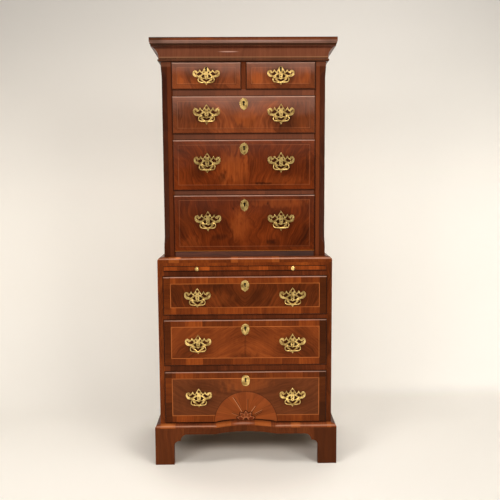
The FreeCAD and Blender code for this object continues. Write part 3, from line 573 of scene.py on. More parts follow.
BURST_RADIUS = 0.139
BURST_DEPTH = 0.032
BALL_RADIUS = (BURST_RADIUS ** 2 + BURST_DEPTH ** 2) / (2 * BURST_DEPTH)
BURST_WEDGES = 10
BURST_LIGHT = (153, 76, 33)
BURST_DEEP = (141, 68, 29)
BURST_SEAMS = ((-0.016, 0.037, -0.056, 0.112, 0.9), (0.0075, 0.042, 0.008, 0.1, 0.15),
    (0.025, 0.035, 0.044, 0.064, 0.8), (0.041, 0.027, 0.074, 0.047, 0.5),
    (0.044, 0.021, 0.07, 0.037, 0.1), (-0.034, 0.02, -0.062, 0.033, 0.3))
SEAM_LIGHT = (210, 142, 96)
SEAM_DARK = (48, 18, 8)
BURST_LINE = (58, 24, 10)
BURST_FOOT = (92, 36, 14)


def ball_centre():
    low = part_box("lower_drawer_3_front")[0]
    return low.y + BURST_DEPTH - BALL_RADIUS, low.z


def in_hollow(paint):
    """1 on the scooped face of the sunburst and 0 on every other face."""
    centre_y, centre_z = ball_centre()
    reach = paint.length(paint.x, paint.y - centre_y, paint.z - centre_z)
    return 1 - paint.step(reach, BALL_RADIUS + 0.0012, 0.0004)


def sunburst(paint, colour):
    """Wedges of alternate tone in the hollow, with thin lines that fan out from its foot."""
    up = paint.z - ball_centre()[1]
    radius = paint.length(paint.x, up)
    count = paint.math("ARCTAN2", up, paint.x) * (BURST_WEDGES / math.pi)
    wedge = paint.math("FLOOR", count)
    own = paint.chance(count, 4.4)
    bearing = (wedge + 0.5) * (math.pi / BURST_WEDGES)
    cosine, sine = paint.math("COSINE", bearing), paint.math("SINE", bearing)
    run, side = paint.x * cosine + up * sine, up * cosine - paint.x * sine
    figure = grain(paint, run, side + own, 91.0, curl=0.5)
    wedges = paint.mix(paint.math("MODULO", wedge, 2.0), BURST_LIGHT, BURST_DEEP)
    wedges = paint.tone(own, paint.tone(figure, wedges, 0.62, 1.3), 0.92, 1.08)
    fraction = paint.math("FRACT", count + 0.5) - 0.5
    sweep = abs(fraction) * radius * (math.pi / BURST_WEDGES)
    wedges = paint.mix((1 - paint.step(sweep, 0.0007, 0.0007)) * 0.4, wedges, BURST_LINE)
    for x0, z0, x1, z1, light_share in BURST_SEAMS:
        length = math.hypot(x1 - x0, z1 - z0)
        along_x, along_z = (x1 - x0) / length, (z1 - z0) / length
        travel = (paint.x - x0) * along_x + (up - z0) * along_z
        off = (paint.x - x0) * along_z - (up - z0) * along_x
        held = paint.stripe(travel, 0.0, length, 0.004)
        light, dark = paint.stripe(off, -0.0028, 0.0, 0.0008), paint.stripe(off, 0.0, 0.003, 0.0008)
        wedges = paint.mix(light * held * light_share, wedges, SEAM_LIGHT)
        wedges = paint.mix(dark * held * 0.8, wedges, SEAM_DARK)
    near = nearest_petal(paint, paint.x, up)
    foot = paint.spot(paint.x, up - 0.006, 0.062, 0.05)
    wedges = paint.mix(foot * 0.35, wedges, BURST_FOOT)
    # Painted shade round each petal, where the petals stand out from the hollow.
    wedges = paint.mix((1 - paint.step(near, 1.22, 0.3)) * 0.85, wedges, SEAM_DARK)
    ring = paint.stripe(radius, BURST_RADIUS - 0.0014, BURST_RADIUS + 0.0022, 0.001)
    inside = 1 - paint.step(radius, BURST_RADIUS, 0.0008)
    colour = paint.mix(inside, colour, wedges)
    return paint.mix(ring * 0.55, colour, BURST_LINE)


# Metals

BRASS_BRIGHT = (248, 215, 136)
BRASS_DULL = (128, 96, 42)
IRON_COLOUR = (96, 92, 88)
RUST_COLOUR = (84, 58, 42)


def brass(name):
    """Old brass, brighter where it is rubbed and dull where tarnish gathers."""
    paint = Paint(name)
    paint.set("Metallic", 0.8)
    tarnish = paint.clouds(60.0)
    colour = paint.mix(paint.step(tarnish, 0.52, 0.34) * 0.85, BRASS_BRIGHT, BRASS_DULL)
    return paint.surface(colour, tarnish * 0.2 + 0.18, paint.clouds(400.0, 2.0), 0.00008)


def iron(name):
    """Dull iron with a little rust."""
    paint = Paint(name)
    paint.set("Metallic", 1.0)
    rust = paint.clouds(90.0)
    colour = paint.mix(paint.step(rust, 0.55, 0.2), IRON_COLOUR, RUST_COLOUR)
    return paint.surface(colour, rust * 0.3 + 0.35, rust, 0.0001)


# Painting the carried-over nodes

PLINTH_LIGHT = ((-0.378, -0.312), (-0.132, -0.066), (0.04, 0.112), (0.2, 0.24), (0.36, 0.38))
# Soft ovals on the plinth: a crisp orange veneer piece at the left, a painted highlight in the middle,
# and an orange piece at the right.
PLINTH_GLINTS = ((-0.345, 0.1765, 0.04, 0.007, (224, 138, 74), 0.3),
    (-0.01, 0.174, 0.06, 0.006, (178, 128, 108), 0.6), (0.22, 0.176, 0.03, 0.008, (190, 110, 60), 0.5))
PLINTH_SHADE = (184, 100, 42)
FOOT_DARK = ((0.3, 0.42),)
FOOT_SHADE = (56, 24, 10)
WAIST_LIGHT = ((-0.33, -0.285), (0.118, 0.15), (-0.06, -0.03))
VENEER_THICKNESS = 0.002
# Painted sheen on the rails between the upper chest's drawers.
RAIL_SHEEN = (128, 84, 68)
RAIL_BANDS = [(low, high, RAIL_SHEEN, 0.36)
              for low, high in ((1.612, 1.6405), (1.4285, 1.455), (1.1925, 1.214))]
# Upright strips on the corner posts, each as low and high places across, the height it starts at, a
# colour and a share: an orange-brown strip on each front face, a dark line beside it, painted shade on
# both canted corners and more over the whole left corner, and a paler mauve top.
POST_STRIPS = ((0.309, 0.3245, 0.0, (122, 58, 30), 0.5), (0.3245, 0.3275, 0.0, (52, 18, 6), 0.6),
    (-0.36, -0.305, 0.0, (60, 18, 4), 0.4), (0.3275, 0.36, 0.0, (50, 22, 12), 0.4),
    (0.309, 0.36, 1.735, (122, 74, 54), 0.5))
# Level bands on the cornice, each as low and high heights, a colour and a share, from the top down: a
# dark top edge, the fascia's tone, a painted reflection on the lower fascia, painted shadow under the
# top member, painted shade at the top of the cove, the cove's tone, a painted highlight above the bead,
# the bead's tone, and painted shadow under the bead.
CORNICE_BANDS = ((1.8435, 1.848, (44, 22, 10), 0.7), (1.835, 1.8435, (104, 46, 22), 0.55),
    (1.8227, 1.835, (150, 118, 106), 0.6), (1.8134, 1.8227, (32, 14, 9), 0.8),
    (1.8047, 1.8134, (70, 30, 20), 0.6), (1.7743, 1.8047, (150, 86, 64), 0.3),
    (1.77, 1.7743, (176, 128, 96), 0.5), (1.7575, 1.77, (84, 52, 36), 0.4),
    (1.753, 1.7575, (28, 12, 8), 0.7))
# Soft ovals on the cornice, each as its place across and up, half sizes, a colour and a share: a
# painted highlight streak in the cove, a reddish-brown veneer piece on the fascia, darker patches at
# both ends, and a painted reflection along the lower fascia.
CORNICE_GLINTS = ((-0.063, 1.7935, 0.052, 0.0028, (206, 164, 150), 0.8),
    (-0.156, 1.84, 0.05, 0.008, (134, 64, 26), 0.45), (-0.37, 1.84, 0.06, 0.02, (40, 26, 18), 0.6),
    (-0.35, 1.815, 0.05, 0.016, (44, 26, 20), 0.5), (0.36, 1.835, 0.05, 0.02, (60, 34, 24), 0.4),
    (0.05, 1.829, 0.2, 0.005, (170, 142, 134), 0.4))
# Soft ovals on the waist moulding: a bright orange spot on its front edge at the left, and a painted
# highlight along the front edge.
WAIST_GLINTS = ((-0.29, 0.921, 0.02, 0.004, (226, 132, 80), 0.8),
    (0.1, 0.9185, 0.3, 0.0022, (206, 158, 136), 0.4))
# Painted shadow in the gaps along the slide's lower and upper edges.
SLIDE_GAP_SHADOWS = ((0.8655, 0.8674, (28, 12, 8), 0.75), (0.8834, 0.8855, (28, 12, 8), 0.75))


def dress(name, material):
    for place in nodes[name].material_slots:
        place.material = material


def dress_carcase():
    """Gives the nodes that are kept as they are their woods."""
    for name, seed in (("lower_sides", 5.5), ("upper_sides", 6.9)):
        low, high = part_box(name)
        shown = (high.x - VENEER_THICKNESS, low.y + VENEER_THICKNESS)
        dress(name, plain_wood(f"{name}_veneer", FIELD_TONES, "z", "y", seed, curl=0.75, inside=shown,
                               seamed=True))
    dress("corner_posts", plain_wood("post_walnut", DARK_TONES, "z", "x", 17.2, seamed=True,
                                     strips=POST_STRIPS))
    waist_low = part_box("waist_moulding")[0]
    over_slide = (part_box("brushing_slide")[1].z, waist_low.z, BAND_TONES)
    make_plinth()
    for node, name, *numbers, more in (
            ("front_rails", "rail_walnut", 29.4, RAIL_TONES, 0.16, (0.92, 1.28),
             {"raised": over_slide, "seamed": True, "bands": RAIL_BANDS}),
            ("waist_moulding", "waist_walnut", 33.0, BAND_TONES, 0.085, (0.7, 1.05), WAIST_LIGHT,
             {"edge": waist_low.y + 0.005, "glints": WAIST_GLINTS}),
            ("cornice", "cornice_walnut", 41.0, CORNICE_TONES, 0.3, (0.94, 1.05),
             {"bands": CORNICE_BANDS, "glints": CORNICE_GLINTS}),
            ("bracket_feet", "foot_walnut", 53.0, FOOT_TONES, 0.2, (0.85, 1.1), FOOT_DARK, FOOT_SHADE,
             {}),
            ("brushing_slide", "slide_walnut", 77.0, BAND_TONES, 0.045, (0.93, 1.42),
             {"bands": SLIDE_GAP_SHADOWS})):
        dress(node, banded_moulding(name, *numbers, **more))
    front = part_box("upper_sides")[0].y
    for node, name, tones, along, across, seed, more in (
            ("foot_blocks", "block_pine", PINE_TONES, "z", "x", 59.0, {}),
            ("end_boards", "board_pine", DARK_TONES, "x", "y", 61.0,
             {"curl": 0.3, "behind": front, "board": 0.17}),
            ("back_boards", "back_pine", PINE_TONES, "z", "x", 67.0, {"curl": 0.3, "board": 0.15}),
            ("drawer_runners", "runner_oak", OAK_TONES, "y", "x", 71.0, {"curl": 0.35})):
        dress(node, plain_wood(name, tones, along, across, seed, BARE_ROUGHNESS, **more))


def dress_drawers():
    lining = plain_wood("lining_oak", OAK_TONES, "y", "z", 83.0, BARE_ROUGHNESS, curl=0.35)
    steel = iron("bolt_iron")
    for name in DRAWERS:
        dress(f"{name}_front", veneered_front(name))
        dress(f"{name}_box", lining)
        dress(f"{name}_bolt", steel)


# Brass fittings. Their outlines are in millimetres from the middle of the line of the posts. A half
# outline is the right one, which the left one mirrors. A point with a third value stays sharp.

PLATE_THICKNESS = 0.0016
PLATE_BEVEL = 0.00035
POST_SPREAD = 0.046
POST_LENGTH = 0.0105
NUT_THICKNESS = 0.005
NUT_HALF = 0.005
SHANK_HALF = 0.0023
NUT_BEVEL = 0.0006
HEAD_SEGMENTS = 20
KNOB_SEGMENTS = 32
SHARP_ANGLE = 40
LONG_RISE = 0.051
SHORT_RISE = 0.045
MM = 0.001
SAME_PLACE = 1e-6

PLATE_HALF = ((0, 52.5, 1), (4.6, 45.6), (9.2, 39), (13.6, 32.4), (18, 25, 1), (22.8, 31),
    (27.2, 38.6, 1), (31, 32), (35, 25.4, 1), (38.6, 31), (44, 35), (50.4, 34.6), (55.8, 30),
    (58, 22.6), (56.8, 14), (52.6, 7.2), (47, 3.4), (42, 2.4), (36, 2.2), (31, -0.4, 1), (29.4, -4),
    (26, -8.2, 1), (22.4, -12.4), (17, -16, 1), (12.4, -18.6), (8.6, -22), (5.6, -25), (3.8, -29),
    (0, -35, 1))
PLATE_HOLES = (((26.6, 29.6, 1), (32, 22.6), (42, 18.4, 1), (40, 12.6), (32.6, 9), (25.4, 12),
    (17, 19.6, 1), (22.4, 23.4)), ((8.6, 16, 1), (13.4, 14), (18.4, 9.4), (24, 5.6, 1), (20, 0.8),
    (13, -1.2), (6.2, -2.4, 1), (8, 6.6)), ((6.4, 25), (10, 30.6), (14.6, 25), (10.8, 18.8)),
    ((51.4, 25.4, 1), (45.6, 25.6), (41.8, 19.4), (43, 11.4, 1), (46.6, 16.6)), ((23.4, -3.8),
    (27.6, -0.4), (29, -5), (24.8, -7.6)))
MIDDLE_HALVES = (((0, 13.4), (3.2, 9.2), (0, 5)), ((0, 2.8), (2.8, -0.6), (0, -4)), ((0, -9.6, 1),
    (4, -6.4), (9.6, -4.8), (17, -6.2, 1), (12.4, -12.6), (5, -17.8), (0, -21, 1)))
CROWN_HALF = ((0, 45), (5.6, 40.6), (5.2, 34), (0, 30.6))
SHORT_CROWN = ((0, 51), (6, 49.5), (10, 42), (14.6, 34))
SHIELD_HALF = ((0, 24.6), (4.6, 23.6), (8.2, 20.8, 1), (12, 19.6), (15, 15.4), (16, 10.4, 1), (18, 7.2),
    (18.4, 0), (16.6, -7.2, 1), (15.8, -12.6), (12, -18.4, 1), (9.2, -21.6), (4.6, -23.2, 1),
    (2.4, -25.6), (0, -28, 1))
OVAL_HALF = ((0, 23.6), (9, 22.8), (15.6, 16.4), (18, 5.4), (18, -5.4), (15.6, -16.4), (9, -23),
    (0, -24.6))
KEY_EYE = 5.0
KEY_SLOT_HALF = 3.2
KEY_SLOT_LENGTH = 14.0
KEY_EYE_STEPS = 14
KNOB_REACH = 0.0095

HEAD_PROFILE = ((0, 5.4), (0.7, 5.4), (1.3, 4.4), (2.0, 3.1), (3.1, 2.8), (4.2, 3.4), (5.6, 4.1),
    (7.0, 4.3), (8.3, 3.9), (9.4, 3.0), (10.1, 1.7), (10.45, 0))
KNOB_PROFILE = ((0, 5.4), (0.8, 5.6), (1.6, 4.6), (3.2, 3.7), (6.0, 3.6), (8.0, 4.8), (9.8, 7.4),
    (12.0, 9.1), (14.2, 9.4), (16.2, 8.4), (18.0, 6.2), (19.3, 3.2), (19.9, 0))
BAIL_LINE = ((19.5, 0, 1.7), (24.0, 0, 1.7), (28.0, -0.2, 1.8), (31.6, -2.2, 2.0), (33.6, -6.4, 1.9),
    (33.8, -11.2, 1.9), (32.0, -16.2, 2.0), (28.2, -19.4, 2.3), (22.6, -20.8, 2.6), (15.0, -21.4, 2.5),
    (7.0, -21.6, 2.8), (0, -21.6, 3.0))


def rounded(points):
    """Cuts the corners off a closed outline twice, except those marked as sharp. Gives metres."""
    for number in range(2):
        fresh = []
        for index, point in enumerate(points):
            if len(point) > 2:
                fresh.append(point)
                continue
            for other in (points[index - 1], points[(index + 1) % len(points)]):
                fresh.append(tuple(here + (there - here) / 4 for here, there in zip(point, other)))
        points = fresh
    return [(x * MM, z * MM) for x, z, *sharp in points]


def flipped(points):
    return [(-x, *rest) for x, *rest in points]


def mirrored(half):
    """A whole outline from its right half, whose ends are on the middle line."""
    return list(half) + flipped(reversed(half[1:-1]))


def keyhole_outline(eye_z):
    """A key's hole, with its round eye at a height and the slot below it. Gives metres."""
    turn = math.asin(KEY_SLOT_HALF / KEY_EYE)
    points = []
    for number in range(KEY_EYE_STEPS + 1):
        angle = -math.pi / 2 + turn + (2 * math.pi - 2 * turn) * number / KEY_EYE_STEPS
        points.append((KEY_EYE * math.cos(angle), eye_z + KEY_EYE * math.sin(angle)))
    points += [(side * KEY_SLOT_HALF, eye_z - KEY_SLOT_LENGTH) for side in (-1, 1)]
    return [(x * MM, z * MM) for x, z in points]


def flat_mesh(name, outlines):
    """A flat plate with a slight bevel, from an outline and its piercings, facing -Y."""
    curve = bpy.data.curves.new(name, "CURVE")
    curve.dimensions = "2D"
    curve.fill_mode = "BOTH"
    curve.extrude = PLATE_THICKNESS / 2 - PLATE_BEVEL
    curve.bevel_depth = PLATE_BEVEL
    curve.bevel_resolution = 1
    curve.offset = -PLATE_BEVEL
    for outline in outlines:
        spline = curve.splines.new("POLY")
        spline.points.add(len(outline) - 1)
        for point, (x, z) in zip(spline.points, outline):
            point.co = (x, z, 0, 1)
        spline.use_cyclic_u = True
    return turned_mesh(name, curve, Matrix.Rotation(math.pi / 2, 4, "X"))


def turned_mesh(name, curve, turn):
    """The mesh of a curve, moved by a matrix, with what made it removed."""
    maker = add_object(name, curve)
    bpy.context.view_layer.update()
    mesh = bpy.data.meshes.new_from_object(maker.evaluated_get(bpy.context.evaluated_depsgraph_get()))
    mesh.name = name
    mesh.transform(turn)
    bpy.data.objects.remove(maker)
    bpy.data.curves.remove(curve)
    return mesh


def lathe(builder, profile, segments):
    """Adds a turned shape round the Y axis to a bmesh. Distances run from 0 towards -Y."""
    rings = []
    for distance, radius in profile:
        y = -distance * MM
        if radius == 0:
            rings.append([builder.verts.new((0, y, 0))])
            continue
        turns = [2 * math.pi * n / segments for n in range(segments)]
        rings.append([builder.verts.new((radius * MM * math.cos(turn), y, radius * MM * math.sin(turn)))
                      for turn in turns])
    for near, far in zip(rings, rings[1:]):
        for n in range(segments):
            after = (n + 1) % segments
            corners = [near[n], near[after]] if len(near) > 1 else [near[0]]
            corners += [far[after], far[n]] if len(far) > 1 else [far[0]]
            builder.faces.new(corners)
    if len(rings[0]) > 1:
        builder.faces.new(rings[0])


def finished(builder, name):
    """A mesh from a bmesh, with its faces turned outward and shaded smooth between sharp edges."""
    bmesh.ops.recalc_face_normals(builder, faces=builder.faces)
    mesh = bpy.data.meshes.new(name)
    builder.to_mesh(mesh)
    builder.free()
    return smoothed(mesh)


def smoothed(mesh):
    """Shades a mesh smooth, but for its sharper edges."""
    mesh.shade_smooth()
    mesh.set_sharp_from_angle(angle=math.radians(SHARP_ANGLE))
    return mesh


def solid_mesh(name, points, faces):
    mesh = bpy.data.meshes.new(name)
    mesh.from_pydata(points, [], faces)
    return mesh


def block(builder, low, high):
    made = bmesh.ops.create_cube(builder, size=1.0)["verts"]
    for vertex in made:
        vertex.co = [(a + b) / 2 + (b - a) * c for a, b, c in zip(low, high, vertex.co)]
    return made


def post_mesh(through):
    """A turned post head with the eye for a bail, its shank through the front and its nut."""
    builder = bmesh.new()
    lathe(builder, HEAD_PROFILE, HEAD_SEGMENTS)
    block(builder, (-SHANK_HALF, 0.0, -SHANK_HALF), (SHANK_HALF, through, SHANK_HALF))
    nut = block(builder, (-NUT_HALF, through, -NUT_HALF), (NUT_HALF, through + NUT_THICKNESS, NUT_HALF))
    edges = list({edge for vertex in nut for edge in vertex.link_edges})
    bmesh.ops.bevel(builder, geom=edges, offset=NUT_BEVEL, segments=2, affect="EDGES")
    return finished(builder, "post")


def knob_mesh():
    builder = bmesh.new()
    lathe(builder, KNOB_PROFILE, KNOB_SEGMENTS)
    return finished(builder, "slide_knob")


def bail_mesh():
    """A swan-necked bail, thick in its middle, with its ends turned in to the posts' eyes."""
    curve = bpy.data.curves.new("bail", "CURVE")
    curve.dimensions = "3D"
    curve.bevel_depth = MM
    curve.bevel_resolution = 4
    curve.use_fill_caps = True
    curve.resolution_u = 3
    line = list(BAIL_LINE) + flipped(reversed(BAIL_LINE[:-1]))
    spline = curve.splines.new("NURBS")
    spline.points.add(len(line) - 1)
    for point, (x, z, radius) in zip(spline.points, line):
        point.co = (x * MM, 0, z * MM, 1)
        point.radius = radius
    spline.order_u = 3
    spline.use_endpoint_u = True
    mesh = turned_mesh("bail", curve, Matrix.Identity(4))
    mesh.shade_smooth()
    return mesh


def piece(name, mesh, place, material, body, slot, *replaced):
    """Puts a copy of a mesh in its place as a piece that rides on a body."""
    own = mesh.copy()
    own.name = name
    own.transform(Matrix.Translation(place))
    own.materials.clear()
    own.materials.append(material)
    made = add_object(name, own)
    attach(made, body)
    if replaced:
        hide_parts(*replaced)
    return made


def loose_parts(name):
    """The separate solids of a node, each as its vertices' places and its faces."""
    builder = bmesh.new()
    builder.from_mesh(nodes[name].data)
    bmesh.ops.remove_doubles(builder, verts=builder.verts, dist=SAME_PLACE)
    parts, seen = [], set()
    for start in builder.verts:
        if start in seen:
            continue
        seen.add(start)
        found = [start]
        for vertex in found:
            for edge in vertex.link_edges:
                other = edge.other_vert(vertex)
                if other not in seen:
                    seen.add(other)
                    found.append(other)
        order = {vertex: index for index, vertex in enumerate(found)}
        faces = [[order[corner] for corner in face.verts] for face in builder.faces
                 if face.verts[0] in order]
        parts.append(([vertex.co.copy() for vertex in found], faces))
    builder.free()
    return parts


def corners_of(points):
    return (Vector([min(p[n] for p in points) for n in range(3)]),
            Vector([max(p[n] for p in points) for n in range(3)]))


def lock_case(name):
    """The lock case, taken as it is from the node: the solid round the bolt."""
    middle = sum(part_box(f"{name}_bolt"), Vector()) / 2
    for points, faces in loose_parts(f"{name}_brasses"):
        low, high = corners_of(points)
        if all(low[n] < middle[n] < high[n] for n in range(3)):
            return solid_mesh(f"{name}_lock", points, faces)


def plate_meshes():
    """The long drawers' plate, and the short drawers' one, less high, with a keyhole in its crown."""
    holes = [rounded(shape) for hole in PLATE_HOLES for shape in (hole, flipped(hole))]
    holes += [rounded(mirrored(half)) for half in MIDDLE_HALVES]
    long_plate = [rounded(mirrored(PLATE_HALF))] + holes + [rounded(mirrored(CROWN_HALF))]
    short_plate = [[(x, z * SHORT_RISE / LONG_RISE) for x, z in outline]
                   for outline in [rounded(mirrored(SHORT_CROWN + PLATE_HALF[4:]))] + holes]
    key_rise = KEY_PLACES["short_drawer_left"] - joints["short_drawer_left_bail_hinge"]["pos_m"][2]
    short_plate.append(keyhole_outline(key_rise / MM + KEY_SLOT_LENGTH / 2))
    return flat_mesh("long_plate", long_plate), flat_mesh("short_plate", short_plate)


def make_fittings(fittings, steel):
    """Plates, posts, bails, escutcheons and locks of every drawer, and the slide's knobs."""
    long_plate, short_plate = plate_meshes()
    hole = keyhole_outline(KEY_SLOT_LENGTH / 2)
    shield, oval = [flat_mesh("escutcheon", [rounded(mirrored(half)), hole])
                    for half in (SHIELD_HALF, OVAL_HALF)]
    bail = bail_mesh()
    for name in DRAWERS:
        node = f"{name}_brasses"
        low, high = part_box(node)
        plate_face = low.y + POST_LENGTH
        plate_middle = plate_face + PLATE_THICKNESS / 2
        post = post_mesh(high.y - NUT_THICKNESS - plate_face)
        short = name in SHORT_DRAWERS
        for side in ("",) if short else ("left_", "right_"):
            swing = f"{name}_{side}bail"
            x, y, z = joints[f"{swing}_hinge"]["pos_m"]
            piece(f"{name}_{side}plate", short_plate if short else long_plate, (x, plate_middle, z),
                  fittings, name, "brass", node)
            for end, offset in (("inner", -POST_SPREAD / 2), ("outer", POST_SPREAD / 2)):
                piece(f"{name}_{side}{end}_post", post, (x + offset, plate_face, z), fittings, name,
                      "brass", node)
            piece(f"{name}_{side}swan_bail", bail, (x, y, z), fittings, f"{swing}_swing", "brass",
                  swing)
        if not short:
            piece(f"{name}_escutcheon", oval if name == "lower_drawer_3" else shield,
                  (0, plate_middle, KEY_PLACES[name]), fittings, name, "brass", node)
        piece(f"{name}_lock", lock_case(name), (0, 0, 0), steel, name, "brass", node)
    low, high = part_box("slide_knobs")
    knob = knob_mesh()
    for side, x in (("left", low.x + KNOB_REACH), ("right", high.x - KNOB_REACH)):
        piece(f"slide_{side}_knob", knob, (x, high.y, (low.z + high.z) / 2), fittings, "slide", "brass",
              "slide_knobs")


# Plinth moulding, hollowed under the sunburst

PLINTH_WIDTH = 0.022
LIP_PROUD = 0.006
PLINTH_TOP_OUT = 0.00352
ARC_CENTRE = (0.0066497, -0.0010098)
ARC_RADIUS = 0.0157244
ARC_START = 0.21859
ARC_END = 1.77117
ARC_STEPS = 9
HOLLOW_STEPS = 36


def plinth_front_mesh(bottom, top, front, half_case):
    """The front length: straight from each mitre to the hollow, which it follows."""
    turns = [ARC_START + (ARC_END - ARC_START) * n / ARC_STEPS for n in range(ARC_STEPS + 1)]
    profile = [(0.0, 0.0), (PLINTH_WIDTH, 0.0)]
    arc_out, arc_up = ARC_CENTRE
    profile += [(arc_out + ARC_RADIUS * math.cos(turn), arc_up + ARC_RADIUS * math.sin(turn))
                for turn in turns]
    profile += [(PLINTH_TOP_OUT, top - bottom), (0.0, top - bottom)]
    axis = ball_centre()[0]
    builder = bmesh.new()
    rows = []
    for out, up in profile:
        radius = BALL_RADIUS + LIP_PROUD - out
        reach = math.asin(math.sqrt(radius ** 2 - (front - out - axis) ** 2) / radius)
        line = [builder.verts.new((-half_case - out, front - out, bottom + up))]
        for number in range(HOLLOW_STEPS + 1):
            angle = -reach + 2 * reach * number / HOLLOW_STEPS
            place = (radius * math.sin(angle), axis + radius * math.cos(angle), bottom + up)
            line.append(builder.verts.new(place))
        line.append(builder.verts.new((half_case + out, front - out, bottom + up)))
        rows.append(line)
    for lower, upper in zip(rows, rows[1:] + rows[:1]):
        for n in range(len(lower) - 1):
            builder.faces.new((lower[n], lower[n + 1], upper[n + 1], upper[n]))
    for end in (0, -1):
        builder.faces.new([line[end] for line in rows])
    return finished(builder, "plinth_front")


def make_plinth():
    """The plinth's three mitred lengths. The side ones are the node's own."""
    low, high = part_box("plinth_moulding")
    material = banded_moulding("plinth_walnut", 47.0, MAUVE_TONES, 0.1, (1.08, 1.42), PLINTH_LIGHT,
                               PLINTH_SHADE, edge=low.y + 0.0045, glints=PLINTH_GLINTS)
    meshes = {"front": plinth_front_mesh(low.z, high.z, low.y + PLINTH_WIDTH, high.x - PLINTH_WIDTH)}
    for points, faces in loose_parts("plinth_moulding"):
        part_low, part_high = corners_of(points)
        if part_high.x - part_low.x < high.x:
            side = "left" if part_low.x < 0 else "right"
            meshes[side] = smoothed(solid_mesh("plinth_side", points, faces))
    for side, mesh in meshes.items():
        piece(f"plinth_{side}", mesh, (0, 0, 0), material, "carcase", "walnut_solid", "plinth_moulding")


# Carved petals at the foot of the sunburst

PETAL_BEARINGS = (15, 53, 90, 127, 165)
PETAL_START = 0.007
PETAL_END = 0.041
PETAL_HALF_WIDTH = 0.0095
PETAL_RISE = 0.0045
PETAL_SUNK = 0.0004
PETAL_THICKNESS = 0.001
PETAL_BASE = (150, 82, 50)
PETAL_SHADE = (100, 34, 12)
PETAL_RIM_HIGHLIGHT = (204, 126, 82)
PETAL_ROWS = 12
PETAL_COLUMNS = 10


def nearest_petal(paint, across, up):
    """How far a place is from the nearest petal's middle, where 1 is the petal's outline."""
    nearest = 9.0
    half_length = (PETAL_END - PETAL_START) / 2
    for bearing in PETAL_BEARINGS:
        turn = math.radians(bearing)
        along = across * math.cos(turn) + up * math.sin(turn) - (PETAL_START + half_length)
        off = up * math.cos(turn) - across * math.sin(turn)
        reach = paint.length(along * (1 / half_length), off * (1 / PETAL_HALF_WIDTH))
        nearest = paint.least(nearest, reach)
    return nearest


def petals_mesh():
    """Five leaf-shaped petals in relief on the scooped face."""
    centre_y, centre_z = ball_centre()
    builder = bmesh.new()
    for bearing in PETAL_BEARINGS:
        turn = math.radians(bearing)
        grid = []
        for row in range(PETAL_ROWS + 1):
            along = row / PETAL_ROWS
            half = PETAL_HALF_WIDTH * math.sin(math.pi * along ** 0.75) ** 0.8
            line = []
            for column in range(PETAL_COLUMNS + 1):
                off = column / PETAL_COLUMNS * 2 - 1
                distance = PETAL_START + (PETAL_END - PETAL_START) * along
                x = distance * math.cos(turn) - off * half * math.sin(turn)
                up = distance * math.sin(turn) + off * half * math.cos(turn)
                cupped = (1 - off * off) ** 0.5 * (0.55 + 0.45 * abs(off))
                cupped *= math.sin(math.pi * along) ** 0.5
                y = centre_y + math.sqrt(BALL_RADIUS ** 2 - x * x - up * up)
                place = (x, y + PETAL_SUNK - cupped * PETAL_RISE, centre_z + max(up, 0.0))
                line.append(builder.verts.new(place))
            grid.append(line)
        for lower, upper in zip(grid, grid[1:]):
            for n in range(PETAL_COLUMNS):
                builder.faces.new((lower[n], lower[n + 1], upper[n + 1], upper[n]))
    bmesh.ops.remove_doubles(builder, verts=builder.verts, dist=SAME_PLACE)
    backs = bmesh.ops.extrude_face_region(builder, geom=list(builder.faces))["geom"]
    for vertex in [item for item in backs if isinstance(item, bmesh.types.BMVert)]:
        vertex.co.y += PETAL_THICKNESS
    return finished(builder, "petals")


def petal_paint():
    """Walnut with a painted highlight on each petal's rim and painted shade in its hollow, deeper in
    the lowest petals.
    """
    paint = Paint("petal_walnut")
    up = paint.z - ball_centre()[1]
    radius = paint.length(paint.x, up)
    around = paint.math("ARCTAN2", up, paint.x) * 0.02
    near = nearest_petal(paint, paint.x, up)
    colour = paint.mix(0.5, paint.ramp(grain(paint, radius, around, 93.0), WARM_TONES), PETAL_BASE)
    lowest = paint.step(abs(paint.x) * 0.9 - up, 0.0, 0.006)
    hollow = (1 - paint.step(near, 0.62, 0.3)) * (lowest * 0.7 + 0.15)
    colour = paint.mix(hollow, colour, PETAL_SHADE)
    colour = paint.mix(paint.step(near, 0.66, 0.2) * 0.6, colour, PETAL_RIM_HIGHLIGHT)
    return wood_surface(paint, colour, 0.0, paint.x, paint.z, 2.0, spread=0.0)


def make_petals():
    piece("sunburst_petals", petals_mesh(), (0, 0, 0), petal_paint(), "lower_drawer_3", "walnut_veneer")


# Stage and lights

WALL_COLOUR = (254, 252, 248)
WALL_SHADE = (240, 236, 230)
WALL_TOP_SHADE = (190, 188, 186)
WALL_GLOW = (255, 250, 240)
FLOOR_SHADOW = (112, 96, 72)
WALL_LIFT = 0.17
FLOOR_LIFT = 0.2
WALL_ROUGHNESS = 0.85
WALL_GLOSS = 0.1
STAGE_HALF_WIDTH = 14.0
WALL_DISTANCE = 0.95
COVE_RADIUS = 0.6
WALL_HEIGHT = 4.0
FLOOR_END = 14.0
COVE_STEPS = 16

# Each lamp's name, place, target, width, height, watts and colour
LAMPS = (
    ("key", (2.2, -2.9, 2.2), (0, 0, 0.8), 1.5, 1.5, 57, (255, 250, 240)),
    ("fill", (-2.4, -2.9, 1.9), (0, 0, 0.8), 1.5, 1.5, 56, (255, 250, 242)),
    ("panel", (0, -4.6, 3.0), (0, 0, 1.2), 2.4, 1.4, 17, (255, 240, 230)),
    ("overhead", (0.3, -0.7, 3.4), (0, 0.1, 0.8), 2.2, 1.0, 42, (255, 250, 242)))
SKY_COLOUR = (255, 248, 238)
SKY_STRENGTH = 0.12


